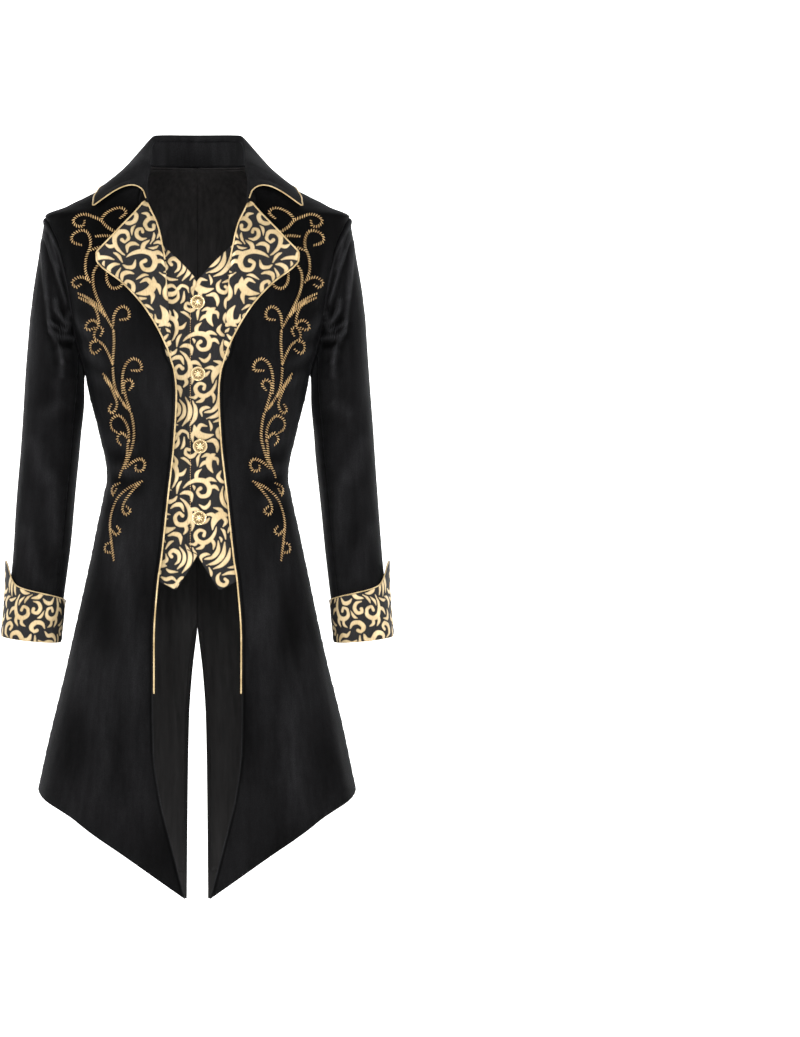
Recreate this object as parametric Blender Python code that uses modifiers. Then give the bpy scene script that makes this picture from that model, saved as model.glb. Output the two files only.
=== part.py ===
"""A costume tailcoat in black velvet with antique-gold brocade, filled out as it is worn.

Metres, +Z up. The front faces -Y and the wearer's left is +X. The origin lies between the two points
where the shoulder seams meet the neck, on the wearer's centre line. Sizes below are in millimetres.
The coat's form is one curved surface, given by level sections; each cut piece is a part of it, drawn
between two edges that run down the coat, and has its own wall.
"""

from math import asin, cos, degrees, exp, pi, radians, sin

import bmesh
import bpy
from mathutils import Matrix, Vector

MM = 0.001

# Walls, gaps and trim
VELVET_WALL = 1.6
LINING_WALL = 1.0
BROCADE_WALL = 1.6
CUFF_WALL = 2.0
SEAM_GAP = 0.3
SHOULDER_SEAM_GAP = 1.1
SIDE_SEAM_GAP = 0.8
SLEEVE_SEAM_GAP = 1.1
LINING_GAP = 2.6
LINING_HEM_RISE = 14.0
LINING_INSET = 5.0
LAYER_GAP = 1.3
PIPING_RADIUS = 1.2
PIPING_SET_OFF = 1.6
COLLAR_PIPING_SET_OFF = 2.1
BUTTON_DIAMETER = 21.0
BUTTON_HEIGHT = 6.0
ROUNDNESS = 2.2

# Heights of the coat's own points
NECK_TOP = -0.5
SEAM_TOP = -3.0
SHOULDER_POINT = -75.0
ARMPIT = -297.0
WAIST = -451.0
VENT_TOP = -676.0
SIDE_CORNER = -905.0
PRINCESS_FOOT = -971.5
FRONT_TIP = -1060.0
BACK_TIP = -1067.0
LINING_TOP = -2.0
LINING_FOOT = -1027.0

# Level sections of the body, from the neck down
BODY_COLUMNS = ("z", "half_width", "front_depth", "back_depth", "flute")
BODY = (
    (0, 69, 58, 62, 0),
    (-20, 109, 66, 76, 0),
    (-40, 149, 78, 88, 0),
    (-60, 189, 90, 97, 0),
    (-75, 221, 97, 102, 0),
    (-110, 221, 108, 111, 0),
    (-150, 213, 117, 116, 0),
    (-190, 203, 122, 117, 0),
    (-240, 186, 124, 113, 0),
    (-270, 175, 123, 109, 0),
    (-297, 165, 120, 105, 0),
    (-333, 157.5, 115, 99, 0),
    (-384, 144, 105, 89, 0),
    (-451, 132, 97, 82, 0),
    (-486, 138, 99, 87, 0.5),
    (-520, 145, 102, 93, 1),
    (-631, 167.5, 111, 108, 3),
    (-776, 201, 123, 124, 5),
    (-905, 231, 134, 138, 7),
    (-1067, 268, 147, 152, 9),
)
FLUTES_AROUND = 11

# Levels of the rows of each body piece, as runs of even steps
BODY_ROWS = (
    (NECK_TOP, SEAM_TOP, 1),
    (SEAM_TOP, -25, 2),
    (-25, SHOULDER_POINT, 3),
    (SHOULDER_POINT, -87, 3),
    (-87, -190, 4),
    (-190, ARMPIT, 4),
    (ARMPIT, WAIST, 4),
    (WAIST, VENT_TOP, 5),
    (VENT_TOP, SIDE_CORNER, 5),
    (SIDE_CORNER, -917, 3),
    (-917, PRINCESS_FOOT, 3),
    (PRINCESS_FOOT, FRONT_TIP, 3),
    (FRONT_TIP, BACK_TIP, 1),
)

# Edges that run down the coat: distance from the centre line at each height
EDGE_COLUMNS = ("z", "x")
FRONT_EDGE = (
    (0, 69), (-15, 73), (-29, 77), (-55, 83), (-87, 75), (-123, 63), (-160, 55), (-200, 49),
    (-255, 49), (-276, 46), (-285, 42), (-297, 35.5), (-333, 32), (-397, 35), (-481, 44), (-573, 54),
    (-606, 59), (-689, 64.5), (-766, 64.5), (-848, 63), (-913, 54.4), (-986, 37), (-1060, 17.5),
)
FRONT_ARMHOLE = (
    (-75, 221), (-79, 219.5), (-87, 215), (-102, 207.5), (-128, 198), (-190, 186), (-240, 180),
    (-275, 172), (-297, 165),
)
BACK_ARMHOLE = (
    (-75, 221), (-79, 219), (-87, 213), (-102, 202), (-128, 189), (-190, 177), (-240, 172),
    (-275, 168), (-297, 165),
)
PRINCESS_SEAM = (
    (-2, 72), (-25, 80), (-60, 77), (-136, 73), (-300, 79), (-451, 86), (-588, 104), (-650, 110),
    (-790, 129), (-862, 138), (-933, 143.5), (PRINCESS_FOOT, 146),
)
VENT_EDGE = ((-676, 0.5), (-740, 8), (-800, 12), (-900, 14), (-1067, 15.5))
FRONT_HEM = ((-905, 231), (-909, 230), (-917, 224), (-930, 205.4), (-1060, 19))
BACK_HEM = ((-905, 231), (-909, 230), (-917, 224), (-930, 206.1), (-1067, 17))
PIPING_START = -300.0
PIPING_END = -766.0
PIPING_LIFT = 1.6
PIPING_SINKS_OVER = 40.0

# The lapel's two sides, from the gorge down to the front edge
LAPEL_COLUMNS = ("along", "roll_x", "roll_z", "outer_x", "outer_z")
LAPEL = (
    (0.00, 73, -57, 75, -57.5),
    (0.12, 66, -72, 89, -73),
    (0.25, 59, -87, 106, -91),
    (0.38, 54, -105, 125, -111.5),
    (0.47, 51, -120, 139, -126),
    (0.50, 49.5, -127, 143.5, -132),
    (0.53, 48, -135, 143, -141),
    (0.57, 47, -144, 138, -148.5),
    (0.68, 44, -178, 106, -174),
    (0.80, 41, -216, 76, -207),
    (0.91, 39, -250, 55, -241),
    (1.00, 37, -276, 42, -268),
)
LAPEL_ROWS = 18
LAPEL_COLUMNS_ACROSS = 5
ROLL_WIDTH = 7.0
ROLL_LIFT = -0.6
LAPEL_LIFT = VELVET_WALL + LAYER_GAP + 0.3

# The waistcoat front: its neck edge and its hem, by share of its width from the middle to the side
VEST_V_BOTTOM = -171.0
VEST_V_SLOPE = 0.98
VEST_NECK_TOP = -110.0
VEST_UNDER_FRONT = 13.0
VEST_OVERLAP = 15.0
VEST_CORNER_ROUND = 26.0
# Hem of the waistcoat front: distance from the centre line, and height; straight between the points
VEST_HEM = ((-15, -559), (0, -566), (30, -616), (34, -616), (59, -603), (72, -598))
VEST_ROWS = 18
VEST_ACROSS = 7

# Sleeve: outline from the front, and sections tilted between their outer and inner points
SLEEVE_OUTER = (
    (-75, 221), (-95, 225), (-138, 231.5), (-196, 240), (-272, 246.5), (-341, 251.6), (-457, 260.3),
    (-573, 267.5), (-632, 275), (-679, 281.5),
)
SLEEVE_INNER = (
    (-297, 168), (-312, 166.5), (-345, 165), (-392, 168.8), (-424, 171.2), (-461, 174.8), (-503, 179),
    (-548, 183.6), (-594, 189.3), (-640, 194.8), (-687, 199.5),
)
SLEEVE_COLUMNS = ("station", "outer_z", "inner_z", "half_depth", "middle_y", "armhole_share")
SLEEVE = (
    (0, -75, -297, 50, 4, 1.0),
    (1, -95, -312, 57, 4, 0.62),
    (2, -125, -328, 62, 5, 0.32),
    (3, -165, -345, 65, 6, 0.12),
    (4, -215, -366, 65, 7, 0),
    (5, -272, -392, 63, 8, 0),
    (6, -335, -424, 61, 7, 0),
    (7, -402, -461, 58, 4, 0),
    (8, -468, -503, 56, -1, 0),
    (9, -530, -548, 54, -8, 0),
    (10, -585, -594, 52, -15, 0),
    (11, -632, -640, 50, -21, 0),
    (12, -679, -687, 49, -26, 0),
)
SLEEVE_END = 12
SLEEVE_ROWS = 15
SLEEVE_HEAD_RISE = 2.4
SLEEVE_RADIUS = 48.0
FORE_SEAM = 135.0
HIND_SEAM = 268.0
TOP_SLEEVE_ACROSS = 8
UNDER_SLEEVE_ACROSS = 5
STATION_LENGTH = 47.0

# Cuff: height around the arm, from the raised corner on the outer side round the front to the back
CUFF_COLUMNS = ("around", "height")
CUFF = (
    (-3, 103), (5, 103), (13, 98), (22, 88), (34, 77), (52, 68), (90, 62), (135, 58), (180, 54), (225, 49),
    (270, 49), (315, 53), (350, 58),
)
CUFF_ACROSS = 17
CUFF_ROWS = 3
CUFF_DROP = 4.0
PIPING_LOOK_IN = 6.0
CUFF_FLARE = 8.0
CUFF_FLARE_WIDTH = 26.0
CUFF_FLARE_CURVE = 1.6
CUFF_LIFT = CUFF_WALL + LAYER_GAP

# Collar: the neck seam, the fold and the free edge, from the centre back round to the front
STAND_COLUMNS = ("along", "x", "y", "z")
NECK_SEAM = (
    (0, 0, 60.5, 0.1), (0.2, 34.5, 54, 0.1), (0.38, 57.5, 35, 0.1), (0.5, 65.5, 16, 0.1),
    (0.62, 68, -3, 0.1), (0.74, 68.5, -35, -4.5),
)
FOLD = (
    (0, 0, 59, 36.8), (0.2, 32, 53, 36.8), (0.38, 58, 34, 35.3), (0.5, 64, 16, 28.3),
    (0.62, 67, -3, 17.3), (0.74, 69.5, -34, 0.3), (0.86, 74, -60, -25.5), (1.0, 72.5, -84, -58),
)
FALL_COLUMNS = ("along", "z", "around", "lift")
FALL_EDGE = (
    (0, -6, 180, 7), (0.2, -10, 151.8, 7), (0.38, -20, 129, 6), (0.5, -26, 110, 5),
    (0.62, -31, 92, 4), (0.74, -40, 69, 4), (0.86, -51.5, 56, 4.5), (1.0, -62, 46, 5),
)
FOLD_RISE = 3.9
FALL_BULGE = 3.4
FALL_BULGE_HIGH = 0.55
FALL_END_ARCH = 25.0
FALL_END_ARCH_HIGH = 0.57
FALL_END_BULGE = 2.5
FALL_END_START = 0.74
FALL_ACROSS = 26
FOLD_CLOSENESS = 1.6
POINT_CLOSENESS = 0.4
FALL_ROWS = 5
STAND_ROWS = 2
STAND_ACROSS = 18

# Buttons down the middle of the waistcoat front: distance from the centre line and height, then the
# turned profile as shares of the radius and of the height
BUTTONS = ((0, -203), (0.7, -306), (3.6, -410), (2.2, -513))
BUTTON_PROFILE = (
    (0.0, 0.0), (0.86, 0.0), (1.0, 0.16), (1.0, 0.45), (0.93, 0.62), (0.8, 0.62), (0.7, 0.5),
    (0.36, 0.86), (0.0, 1.0),
)
BUTTON_SEAT = 0.35
BUTTON_SIDES = 16


def mix(a, b, share):
    """The value that share of the way from a to b."""
    return a + (b - a) * share


def ease(share):
    """A smooth step from 0 to 1."""
    held = min(1.0, max(0.0, share))
    return held * held * (3 - 2 * held)


def curve_through(table, columns, key, value):
    """A smooth function through one column of a table, with no overshoot between its rows."""
    rows = sorted((row[columns.index(key)], row[columns.index(value)]) for row in table)
    keys = [row[0] for row in rows]
    values = [row[1] for row in rows]
    steps = [keys[i + 1] - keys[i] for i in range(len(keys) - 1)]
    rises = [(values[i + 1] - values[i]) / steps[i] for i in range(len(steps))]
    slopes = [rises[0]]
    for i in range(1, len(rises)):
        turning = rises[i - 1] * rises[i] <= 0
        slopes.append(0.0 if turning else 2 / (1 / rises[i - 1] + 1 / rises[i]))
    slopes.append(rises[-1])

    def at(place):
        held = min(keys[-1], max(keys[0], place))
        i = 0
        while i < len(steps) - 1 and held > keys[i + 1]:
            i += 1
        share = (held - keys[i]) / steps[i]
        start = (1 + 2 * share) * (1 - share) ** 2 * values[i]
        start_slope = share * (1 - share) ** 2 * steps[i] * slopes[i]
        end = share * share * (3 - 2 * share) * values[i + 1]
        end_slope = share * share * (share - 1) * steps[i] * slopes[i + 1]
        return start + start_slope + end + end_slope

    return at


half_width = curve_through(BODY, BODY_COLUMNS, "z", "half_width")
front_depth = curve_through(BODY, BODY_COLUMNS, "z", "front_depth")
back_depth = curve_through(BODY, BODY_COLUMNS, "z", "back_depth")
flute = curve_through(BODY, BODY_COLUMNS, "z", "flute")


def power(value, exponent):
    """A signed power, so that a section's quarters join."""
    return abs(value) ** exponent * (1 if value >= 0 else -1)


def on_form(z, around):
    """A point of the coat's form, around in degrees from the centre front over the wearer's left."""
    turn = radians(around)
    depth = front_depth(z) if cos(turn) > 0 else back_depth(z)
    wave = flute(z) / 200 * cos(FLUTES_AROUND * turn) * sin(turn) ** 2
    x = half_width(z) * power(sin(turn), 2 / ROUNDNESS) * (1 + wave * cos(turn) ** 2)
    y = -depth * power(cos(turn), 2 / ROUNDNESS) * (1 + wave)
    return Vector((x, y, z))


def body_point(z, around, out):
    """A point of the form moved out along its normal."""
    turn_step = 1.5
    level_step = 2.0
    across = on_form(z, around + turn_step) - on_form(z, around - turn_step)
    down = on_form(z - level_step, around) - on_form(z + level_step, around)
    normal = down.cross(across).normalized()
    return on_form(z, around) + normal * out


def around_at(x, z, back=False):
    """Where on its level section the form is x from the centre line."""
    share = min(1.0, max(0.0, x / half_width(z)))
    turn = degrees(asin(share ** (ROUNDNESS / 2)))
    return 180 - turn if back else turn


def body_levels(top, bottom):
    """The row heights between two levels, both included."""
    levels = [top]
    for row_top, row_bottom, steps in BODY_ROWS:
        for step in range(steps + 1):
            z = mix(row_top, row_bottom, step / steps)
            if bottom + 4 < z < top - 1 and z < levels[-1] - 1:
                levels.append(z)
    return levels + [bottom]


def material(name, colour, roughness, metallic=0.0):
    """A plain finish for one piece."""
    finish = bpy.data.materials.new(name)
    finish.use_nodes = True
    shader = finish.node_tree.nodes["Principled BSDF"]
    shader.inputs["Base Color"].default_value = (*colour, 1.0)
    shader.inputs["Roughness"].default_value = roughness
    shader.inputs["Metallic"].default_value = metallic
    return finish


VELVET = ((0.012, 0.012, 0.013), 0.8, 0.0)
LINING = ((0.02, 0.018, 0.018), 0.45, 0.0)
BROCADE = ((0.55, 0.42, 0.22), 0.45, 0.2)
PIPING = ((0.6, 0.42, 0.16), 0.4, 0.5)
BRASS = ((0.5, 0.36, 0.16), 0.35, 1.0)

coat = bpy.data.collections.new("tailcoat")


def add_object(name, data, finish):
    """Puts a mesh or a curve in the coat under its name, with a finish of its own."""
    piece = bpy.data.objects.new(name, data)
    data.materials.append(material(name + "_finish", *finish))
    coat.objects.link(piece)
    return piece


def cloth(name, place, across, down, wall, finish, side=1):
    """A piece of cloth: a grid laid by place(share across, share down), with a wall on its inner side."""
    mesh = bpy.data.meshes.new(name)
    grid = bmesh.new()
    bmesh.ops.create_grid(grid, x_segments=across, y_segments=down, size=0.5)
    for vert in grid.verts:
        point = place(vert.co.x + 0.5, 0.5 - vert.co.y)
        vert.co = Vector((point.x * side, point.y, point.z)) * MM
    if side < 0:
        bmesh.ops.reverse_faces(grid, faces=grid.faces)
    grid.to_mesh(mesh)
    grid.free()
    mesh.shade_smooth()
    piece = add_object(name, mesh, finish)
    shell = piece.modifiers.new("wall", "SOLIDIFY")
    shell.thickness = wall * MM
    shell.offset = -1
    return piece


def tube(name, points, side=1):
    """A covered cord along a row of points."""
    path = bpy.data.curves.new(name, "CURVE")
    path.dimensions = "3D"
    path.bevel_depth = PIPING_RADIUS * MM
    path.bevel_resolution = 1
    path.use_fill_caps = True
    line = path.splines.new("POLY")
    line.points.add(len(points) - 1)
    for spot, point in zip(line.points, points):
        spot.co = (point.x * side * MM, point.y * MM, point.z * MM, 1)
    return add_object(name, path, PIPING)


def beside(edge, distance=PIPING_SET_OFF):
    """Points beside an edge that is given as pairs: a point on it and one further into the cloth."""
    points = []
    for index, (point, inner) in enumerate(edge):
        ahead = edge[min(index + 1, len(edge) - 1)][0]
        behind = edge[max(index - 1, 0)][0]
        tangent = (ahead - behind).normalized()
        away = point - inner
        away = (away - tangent * away.dot(tangent)).normalized()
        points.append(point + away * distance)
    return points


def body_piece(name, levels, left, right, across, wall, out, finish, side):
    """A cut piece of the body between two edges, each a function from height to place around."""

    def place(share, drop):
        index = round(drop * (len(levels) - 1))
        z = levels[index]
        return body_point(z, mix(left(z), right(z), share), out)

    return cloth(name, place, across, len(levels) - 1, wall, finish, side)


def turned(length, z, around):
    """The angle that a length along the level section takes."""
    step = on_form(z, around + 0.5) - on_form(z, around - 0.5)
    return length / max(step.length, 0.05)


def edge_curve(table, back=False):
    """Where an edge that is given by its distance from the centre line lies around the form."""
    x_at = curve_through(table, EDGE_COLUMNS, "z", "x")
    return lambda z: around_at(x_at(z), z, back)


front_edge = edge_curve(FRONT_EDGE)
front_armhole = edge_curve(FRONT_ARMHOLE)
back_armhole = edge_curve(BACK_ARMHOLE, back=True)
front_hem = edge_curve(FRONT_HEM)
back_hem = edge_curve(BACK_HEM, back=True)
princess = edge_curve(PRINCESS_SEAM, back=True)
vent_edge = edge_curve(VENT_EDGE, back=True)


def front_outer_edge(z):
    """The front's far side: shoulder seam, armhole, side seam, then the hem."""
    if z > SHOULDER_POINT:
        return 90 - turned(SHOULDER_SEAM_GAP / 2, z, 90)
    seam = 90 - turned(SIDE_SEAM_GAP / 2, z, 90)
    if z > ARMPIT:
        return min(seam, front_armhole(z))
    return min(seam, front_hem(z))


def side_back_outer_edge(z):
    """The side back's far side: shoulder seam, armhole, side seam, then the hem."""
    if z > SHOULDER_POINT:
        return 90 + turned(SHOULDER_SEAM_GAP / 2, z, 90)
    seam = 90 + turned(SIDE_SEAM_GAP / 2, z, 90)
    if z > ARMPIT:
        return max(seam, back_armhole(z))
    return max(seam, back_hem(z))


def princess_on(z, share):
    """The princess seam, with half the seam gap on one side or the other."""
    return princess(z) + turned(share * SEAM_GAP, z, princess(z))


def centre_back_edge(z):
    """The centre back seam down to the vent, then the vent's edge."""
    if z > VENT_TOP:
        return 180 - turned(SEAM_GAP, z, 178)
    return vent_edge(z)


def back_outer_edge(z):
    """The back's far side: the princess seam, then the hem."""
    if z >= PRINCESS_FOOT:
        return princess_on(z, 0.5)
    return back_hem(z)


def build_body(side, hand):
    """The three cut pieces of one half of the body."""
    body_piece("front_" + hand, body_levels(SEAM_TOP, FRONT_TIP), front_edge, front_outer_edge,
               7, VELVET_WALL, 0, VELVET, side)
    body_piece("side_back_" + hand, body_levels(SEAM_TOP, PRINCESS_FOOT), side_back_outer_edge,
               lambda z: princess_on(z, -0.5), 4, VELVET_WALL, 0, VELVET, side)
    body_piece("back_" + hand, body_levels(NECK_TOP, BACK_TIP), back_outer_edge, centre_back_edge,
               5, VELVET_WALL, 0, VELVET, side)


def build_lining(side, hand):
    """The back's lining, which shows inside the neck and between the fronts below the waist."""

    def outer(z):
        edge = side_back_outer_edge(z) if z > SIDE_CORNER else back_hem(z - LINING_HEM_RISE)
        return edge + turned(LINING_INSET, z, edge)

    def inner(z):
        if z > VENT_TOP:
            return 180 - turned(SEAM_GAP, z, 178)
        return vent_edge(z) - turned(LINING_INSET, z, 170)

    levels = body_levels(LINING_TOP, LINING_FOOT)
    body_piece("lining_back_" + hand, levels, outer, inner, 8, LINING_WALL,
               -(VELVET_WALL + LINING_GAP), LINING, side)


def lapel_edges():
    """The lapel's roll and its free edge, as points of distance and height."""
    curves = {name: curve_through(LAPEL, LAPEL_COLUMNS, "along", name) for name in LAPEL_COLUMNS[1:]}

    def roll(along):
        return Vector((curves["roll_x"](along), curves["roll_z"](along)))

    def free(along):
        return Vector((curves["outer_x"](along), curves["outer_z"](along)))

    return roll, free


lapel_roll, lapel_free = lapel_edges()


def lapel_place(share, drop):
    """The lapel lies on the front, and turns in over the front's edge along its roll."""
    roll = lapel_roll(drop)
    free = lapel_free(drop)
    width = (free - roll).length
    near = min(ROLL_WIDTH / width, 1.0) if width > 0 else 1.0
    first = 1 / LAPEL_COLUMNS_ACROSS
    if width > ROLL_WIDTH * LAPEL_COLUMNS_ACROSS:
        share = share / first * near if share <= first else mix(near, 1, (share - first) / (1 - first))
    spot = roll.lerp(free, share)
    lift = mix(ROLL_LIFT, LAPEL_LIFT, ease(share * width / ROLL_WIDTH))
    return body_point(spot.y, around_at(spot.x, spot.y), lift)


def build_lapel(side, hand):
    """One brocade lapel."""
    cloth("lapel_" + hand, lapel_place, LAPEL_COLUMNS_ACROSS, LAPEL_ROWS, BROCADE_WALL, BROCADE, side)


def build_front_piping(side, hand):
    """The covered cord round the lapel's free edge and on down the front's edge."""
    rows = [row / LAPEL_ROWS for row in range(LAPEL_ROWS + 1)]
    points = beside([(lapel_place(1, along), lapel_place(0.7, along)) for along in rows])
    for z in body_levels(PIPING_START, PIPING_END):
        around = front_edge(z) - turned(PIPING_SET_OFF, z, front_edge(z))
        sunk = ease((PIPING_START - z) / PIPING_SINKS_OVER)
        points.append(body_point(z, around, mix(PIPING_LIFT, -VELVET_WALL / 2, sunk)))
    tube("front_piping_" + hand, points, side)


def build_vest(side, hand, middle_x, out):
    """One half of the waistcoat front, fixed under the coat's front and lapping past the middle."""
    edge_x = curve_through(FRONT_EDGE, EDGE_COLUMNS, "z", "x")

    def outer_x(z):
        return edge_x(z) + VEST_UNDER_FRONT

    def hem(share):
        """The hem's height, straight from one point of its table to the next."""
        across = mix(middle_x, outer_x(VEST_HEM[-1][1]), share)
        for (near_x, near_z), (far_x, far_z) in zip(VEST_HEM, VEST_HEM[1:]):
            if across <= far_x:
                break
        return mix(near_z, far_z, (across - near_x) / (far_x - near_x))

    def place(share, drop):
        neck_side = VEST_V_BOTTOM + VEST_V_SLOPE * outer_x(VEST_NECK_TOP) * share
        z = mix(neck_side, hem(share), drop)
        past = middle_x * ease((VEST_V_BOTTOM - z) / VEST_CORNER_ROUND)
        x = mix(past, outer_x(z), share)
        around = around_at(abs(x), z) * (1 if x >= 0 else -1)
        return body_point(z, around, out)

    cloth("vest_" + hand, place, VEST_ACROSS, VEST_ROWS, BROCADE_WALL, BROCADE, side)


sleeve_outer_x = curve_through(SLEEVE_OUTER, EDGE_COLUMNS, "z", "x")
sleeve_inner_x = curve_through(SLEEVE_INNER, EDGE_COLUMNS, "z", "x")
sleeve_at = {name: curve_through(SLEEVE, SLEEVE_COLUMNS, "station", name) for name in SLEEVE_COLUMNS[1:]}


def sleeve_section(station, around):
    """A sleeve section, around in degrees from its outer point over the front."""
    outer_z = sleeve_at["outer_z"](station)
    inner_z = sleeve_at["inner_z"](station)
    middle_y = sleeve_at["middle_y"](station)
    outer = Vector((sleeve_outer_x(outer_z), middle_y, outer_z))
    inner = Vector((sleeve_inner_x(inner_z), middle_y, inner_z))
    turn = radians(around)
    middle = (outer + inner) / 2
    forward = Vector((0, -sleeve_at["half_depth"](station), 0))
    outward = power(cos(turn), 2 / ROUNDNESS)
    onward = power(sin(turn), 2 / ROUNDNESS)
    return middle + (outer - middle) * outward + forward * onward


def armhole_point(around):
    """The point of the armhole that a point of the sleeve's first section is sewn to."""
    turn = radians(around)
    z = mix(SHOULDER_POINT, ARMPIT, (1 - power(cos(turn), 2 / ROUNDNESS)) / 2)
    edge = front_armhole(z) if sin(turn) >= 0 else back_armhole(z)
    return body_point(z, edge, SLEEVE_HEAD_RISE)


def sleeve_point(station, around, out=0.0):
    """A point of the sleeve, drawn towards the armhole near its head."""
    share = sleeve_at["armhole_share"](station)
    point = sleeve_section(station, around)
    if share > 0:
        point = point + (armhole_point(around) - sleeve_section(0, around)) * share
    if out == 0:
        return point
    across = sleeve_section(station, around + 2) - sleeve_section(station, around - 2)
    down = sleeve_section(min(SLEEVE_END, station + 0.1), around) - sleeve_section(station - 0.1, around)
    return point + down.cross(across).normalized() * -out


def sleeve_piece(name, start, end, across, side):
    """A cut piece of the sleeve between two of its seams."""

    def place(share, drop):
        station = SLEEVE_END * drop
        return sleeve_point(station, mix(start, end, share))

    return cloth(name, place, across, SLEEVE_ROWS, VELVET_WALL, VELVET, side)


def build_sleeve(side, hand):
    """A two-piece sleeve: the top sleeve outside, the under sleeve towards the body."""
    gap = degrees(SLEEVE_SEAM_GAP / 2 / SLEEVE_RADIUS)
    sleeve_piece("top_sleeve_" + hand, FORE_SEAM - gap, HIND_SEAM - 360 + gap, TOP_SLEEVE_ACROSS, side)
    sleeve_piece("under_sleeve_" + hand, HIND_SEAM - gap, FORE_SEAM + gap, UNDER_SLEEVE_ACROSS, side)


cuff_height = curve_through(CUFF, CUFF_COLUMNS, "around", "height")


def cuff_place(around, height):
    """A point of the turned-back cuff, which stands away from the sleeve at its raised corner."""
    station = SLEEVE_END - height / STATION_LENGTH
    near_corner = exp(-((around - CUFF[0][0]) / CUFF_FLARE_WIDTH) ** 2)
    flare = CUFF_FLARE * near_corner * max(0.0, height / CUFF[0][1]) ** CUFF_FLARE_CURVE
    point = sleeve_point(min(SLEEVE_END, station), around, CUFF_LIFT + flare)
    if station > SLEEVE_END:
        point.z -= (station - SLEEVE_END) * STATION_LENGTH
    return point


def build_cuff(side, hand):
    """The cuff and the covered cord along its top edge."""
    start = CUFF[0][0]
    end = CUFF[-1][0]

    def place(share, drop):
        around = mix(end, start, share)
        return cuff_place(around, mix(cuff_height(around), -CUFF_DROP, drop))

    cloth("cuff_" + hand, place, CUFF_ACROSS, CUFF_ROWS, CUFF_WALL, BROCADE, side)
    edge = []
    for step in range(CUFF_ACROSS + 1):
        around = mix(start, end, step / CUFF_ACROSS)
        height = cuff_height(around)
        edge.append((cuff_place(around, height), cuff_place(around, height - PIPING_LOOK_IN)))
    tube("cuff_piping_" + hand, beside(edge), side)


stand_foot = {name: curve_through(NECK_SEAM, STAND_COLUMNS, "along", name) for name in "xyz"}
fold_line = {name: curve_through(FOLD, STAND_COLUMNS, "along", name) for name in "xyz"}
fall_edge = {name: curve_through(FALL_EDGE, FALL_COLUMNS, "along", name) for name in FALL_COLUMNS[1:]}


def mirrored(point, side):
    """A point on the wearer's left, or its image on the right."""
    return Vector((point.x * side, point.y, point.z))


def build_stand():
    """The collar's stand, from the neck seam up to the fold."""
    reach = NECK_SEAM[-1][0]

    def place(share, drop):
        along = mix(-reach, reach, share)
        side = 1 if along >= 0 else -1
        foot = Vector([stand_foot[name](abs(along)) for name in "xyz"])
        top = Vector([fold_line[name](abs(along)) for name in "xyz"])
        return mirrored(top.lerp(foot, drop), side)

    cloth("collar_stand", place, STAND_ACROSS, STAND_ROWS, VELVET_WALL, VELVET)


def fall_place(along, drop):
    """The collar's fall, from just above the fold to its free edge on the shoulders."""
    side = 1 if along >= 0 else -1
    station = abs(along)
    fold = Vector([fold_line[name](station) for name in "xyz"]) + Vector((0, 0, FOLD_RISE))
    edge = body_point(fall_edge["z"](station), fall_edge["around"](station), fall_edge["lift"](station))
    straight = fold.lerp(edge, drop)
    away = Vector((fold.x, fold.y, 25)).normalized()
    rounded = straight + away * FALL_BULGE * sin(pi * drop**FALL_BULGE_HIGH)
    front_share = ease((station - FALL_END_START) / (1 - FALL_END_START))
    z = straight.z + FALL_END_ARCH * front_share * sin(pi * drop**FALL_END_ARCH_HIGH)
    lift = fall_edge["lift"](station) + FALL_END_BULGE * sin(pi * drop)
    laid = body_point(z, around_at(straight.x, z), lift)
    return mirrored(rounded.lerp(laid, front_share), side)


def build_fall():
    """The collar's fall and the covered cord along its free edge."""
    drops = [(row / FALL_ROWS) ** FOLD_CLOSENESS for row in range(FALL_ROWS + 1)]

    def along_at(share):
        """Columns stand closer towards the two points of the collar."""
        level = mix(1, -1, share)
        return level * (1 + POINT_CLOSENESS * (1 - abs(level)))

    def place(share, drop):
        return fall_place(along_at(share), drop**FOLD_CLOSENESS)

    cloth("collar_fall", place, FALL_ACROSS, FALL_ROWS, VELVET_WALL, VELVET)
    near = 0.95
    edge = [(fall_place(1, drop), fall_place(near, drop)) for drop in drops]
    edge.append((fall_place(1, 1), fall_place(near, near)))
    for step in range(FALL_ACROSS // 2 + 1):
        along = along_at(step / FALL_ACROSS)
        edge.append((fall_place(along, 1), fall_place(along, near)))
    half = beside(edge, COLLAR_PIPING_SET_OFF)
    tube("collar_piping", half + [mirrored(spot, -1) for spot in reversed(half[:-1])])


def build_buttons(out):
    """Four rimmed, domed buttons on the outer half of the waistcoat front."""
    for index, (x, z) in enumerate(BUTTONS):
        name = "button_%d" % (index + 1)
        mesh = bpy.data.meshes.new(name)
        profile = bmesh.new()
        rim = [profile.verts.new((BUTTON_DIAMETER / 2 * MM * r, 0, BUTTON_HEIGHT * MM * h))
               for r, h in reversed(BUTTON_PROFILE)]
        for first, second in zip(rim, rim[1:]):
            profile.edges.new((first, second))
        profile.to_mesh(mesh)
        profile.free()
        piece = add_object(name, mesh, BRASS)
        turn = piece.modifiers.new("turn", "SCREW")
        turn.steps = BUTTON_SIDES
        turn.render_steps = BUTTON_SIDES
        turn.use_merge_vertices = True
        turn.merge_threshold = 0.00001
        around = around_at(x, z)
        seat = body_point(z, around, out)
        facing = (body_point(z, around, out + 10) - seat).normalized()
        turned_to = facing.to_track_quat("Z", "Y").to_matrix().to_4x4()
        piece.matrix_world = Matrix.Translation(seat * MM) @ turned_to


for old in list(bpy.data.objects):
    bpy.data.objects.remove(old, do_unlink=True)
bpy.context.scene.collection.children.link(coat)

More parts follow.
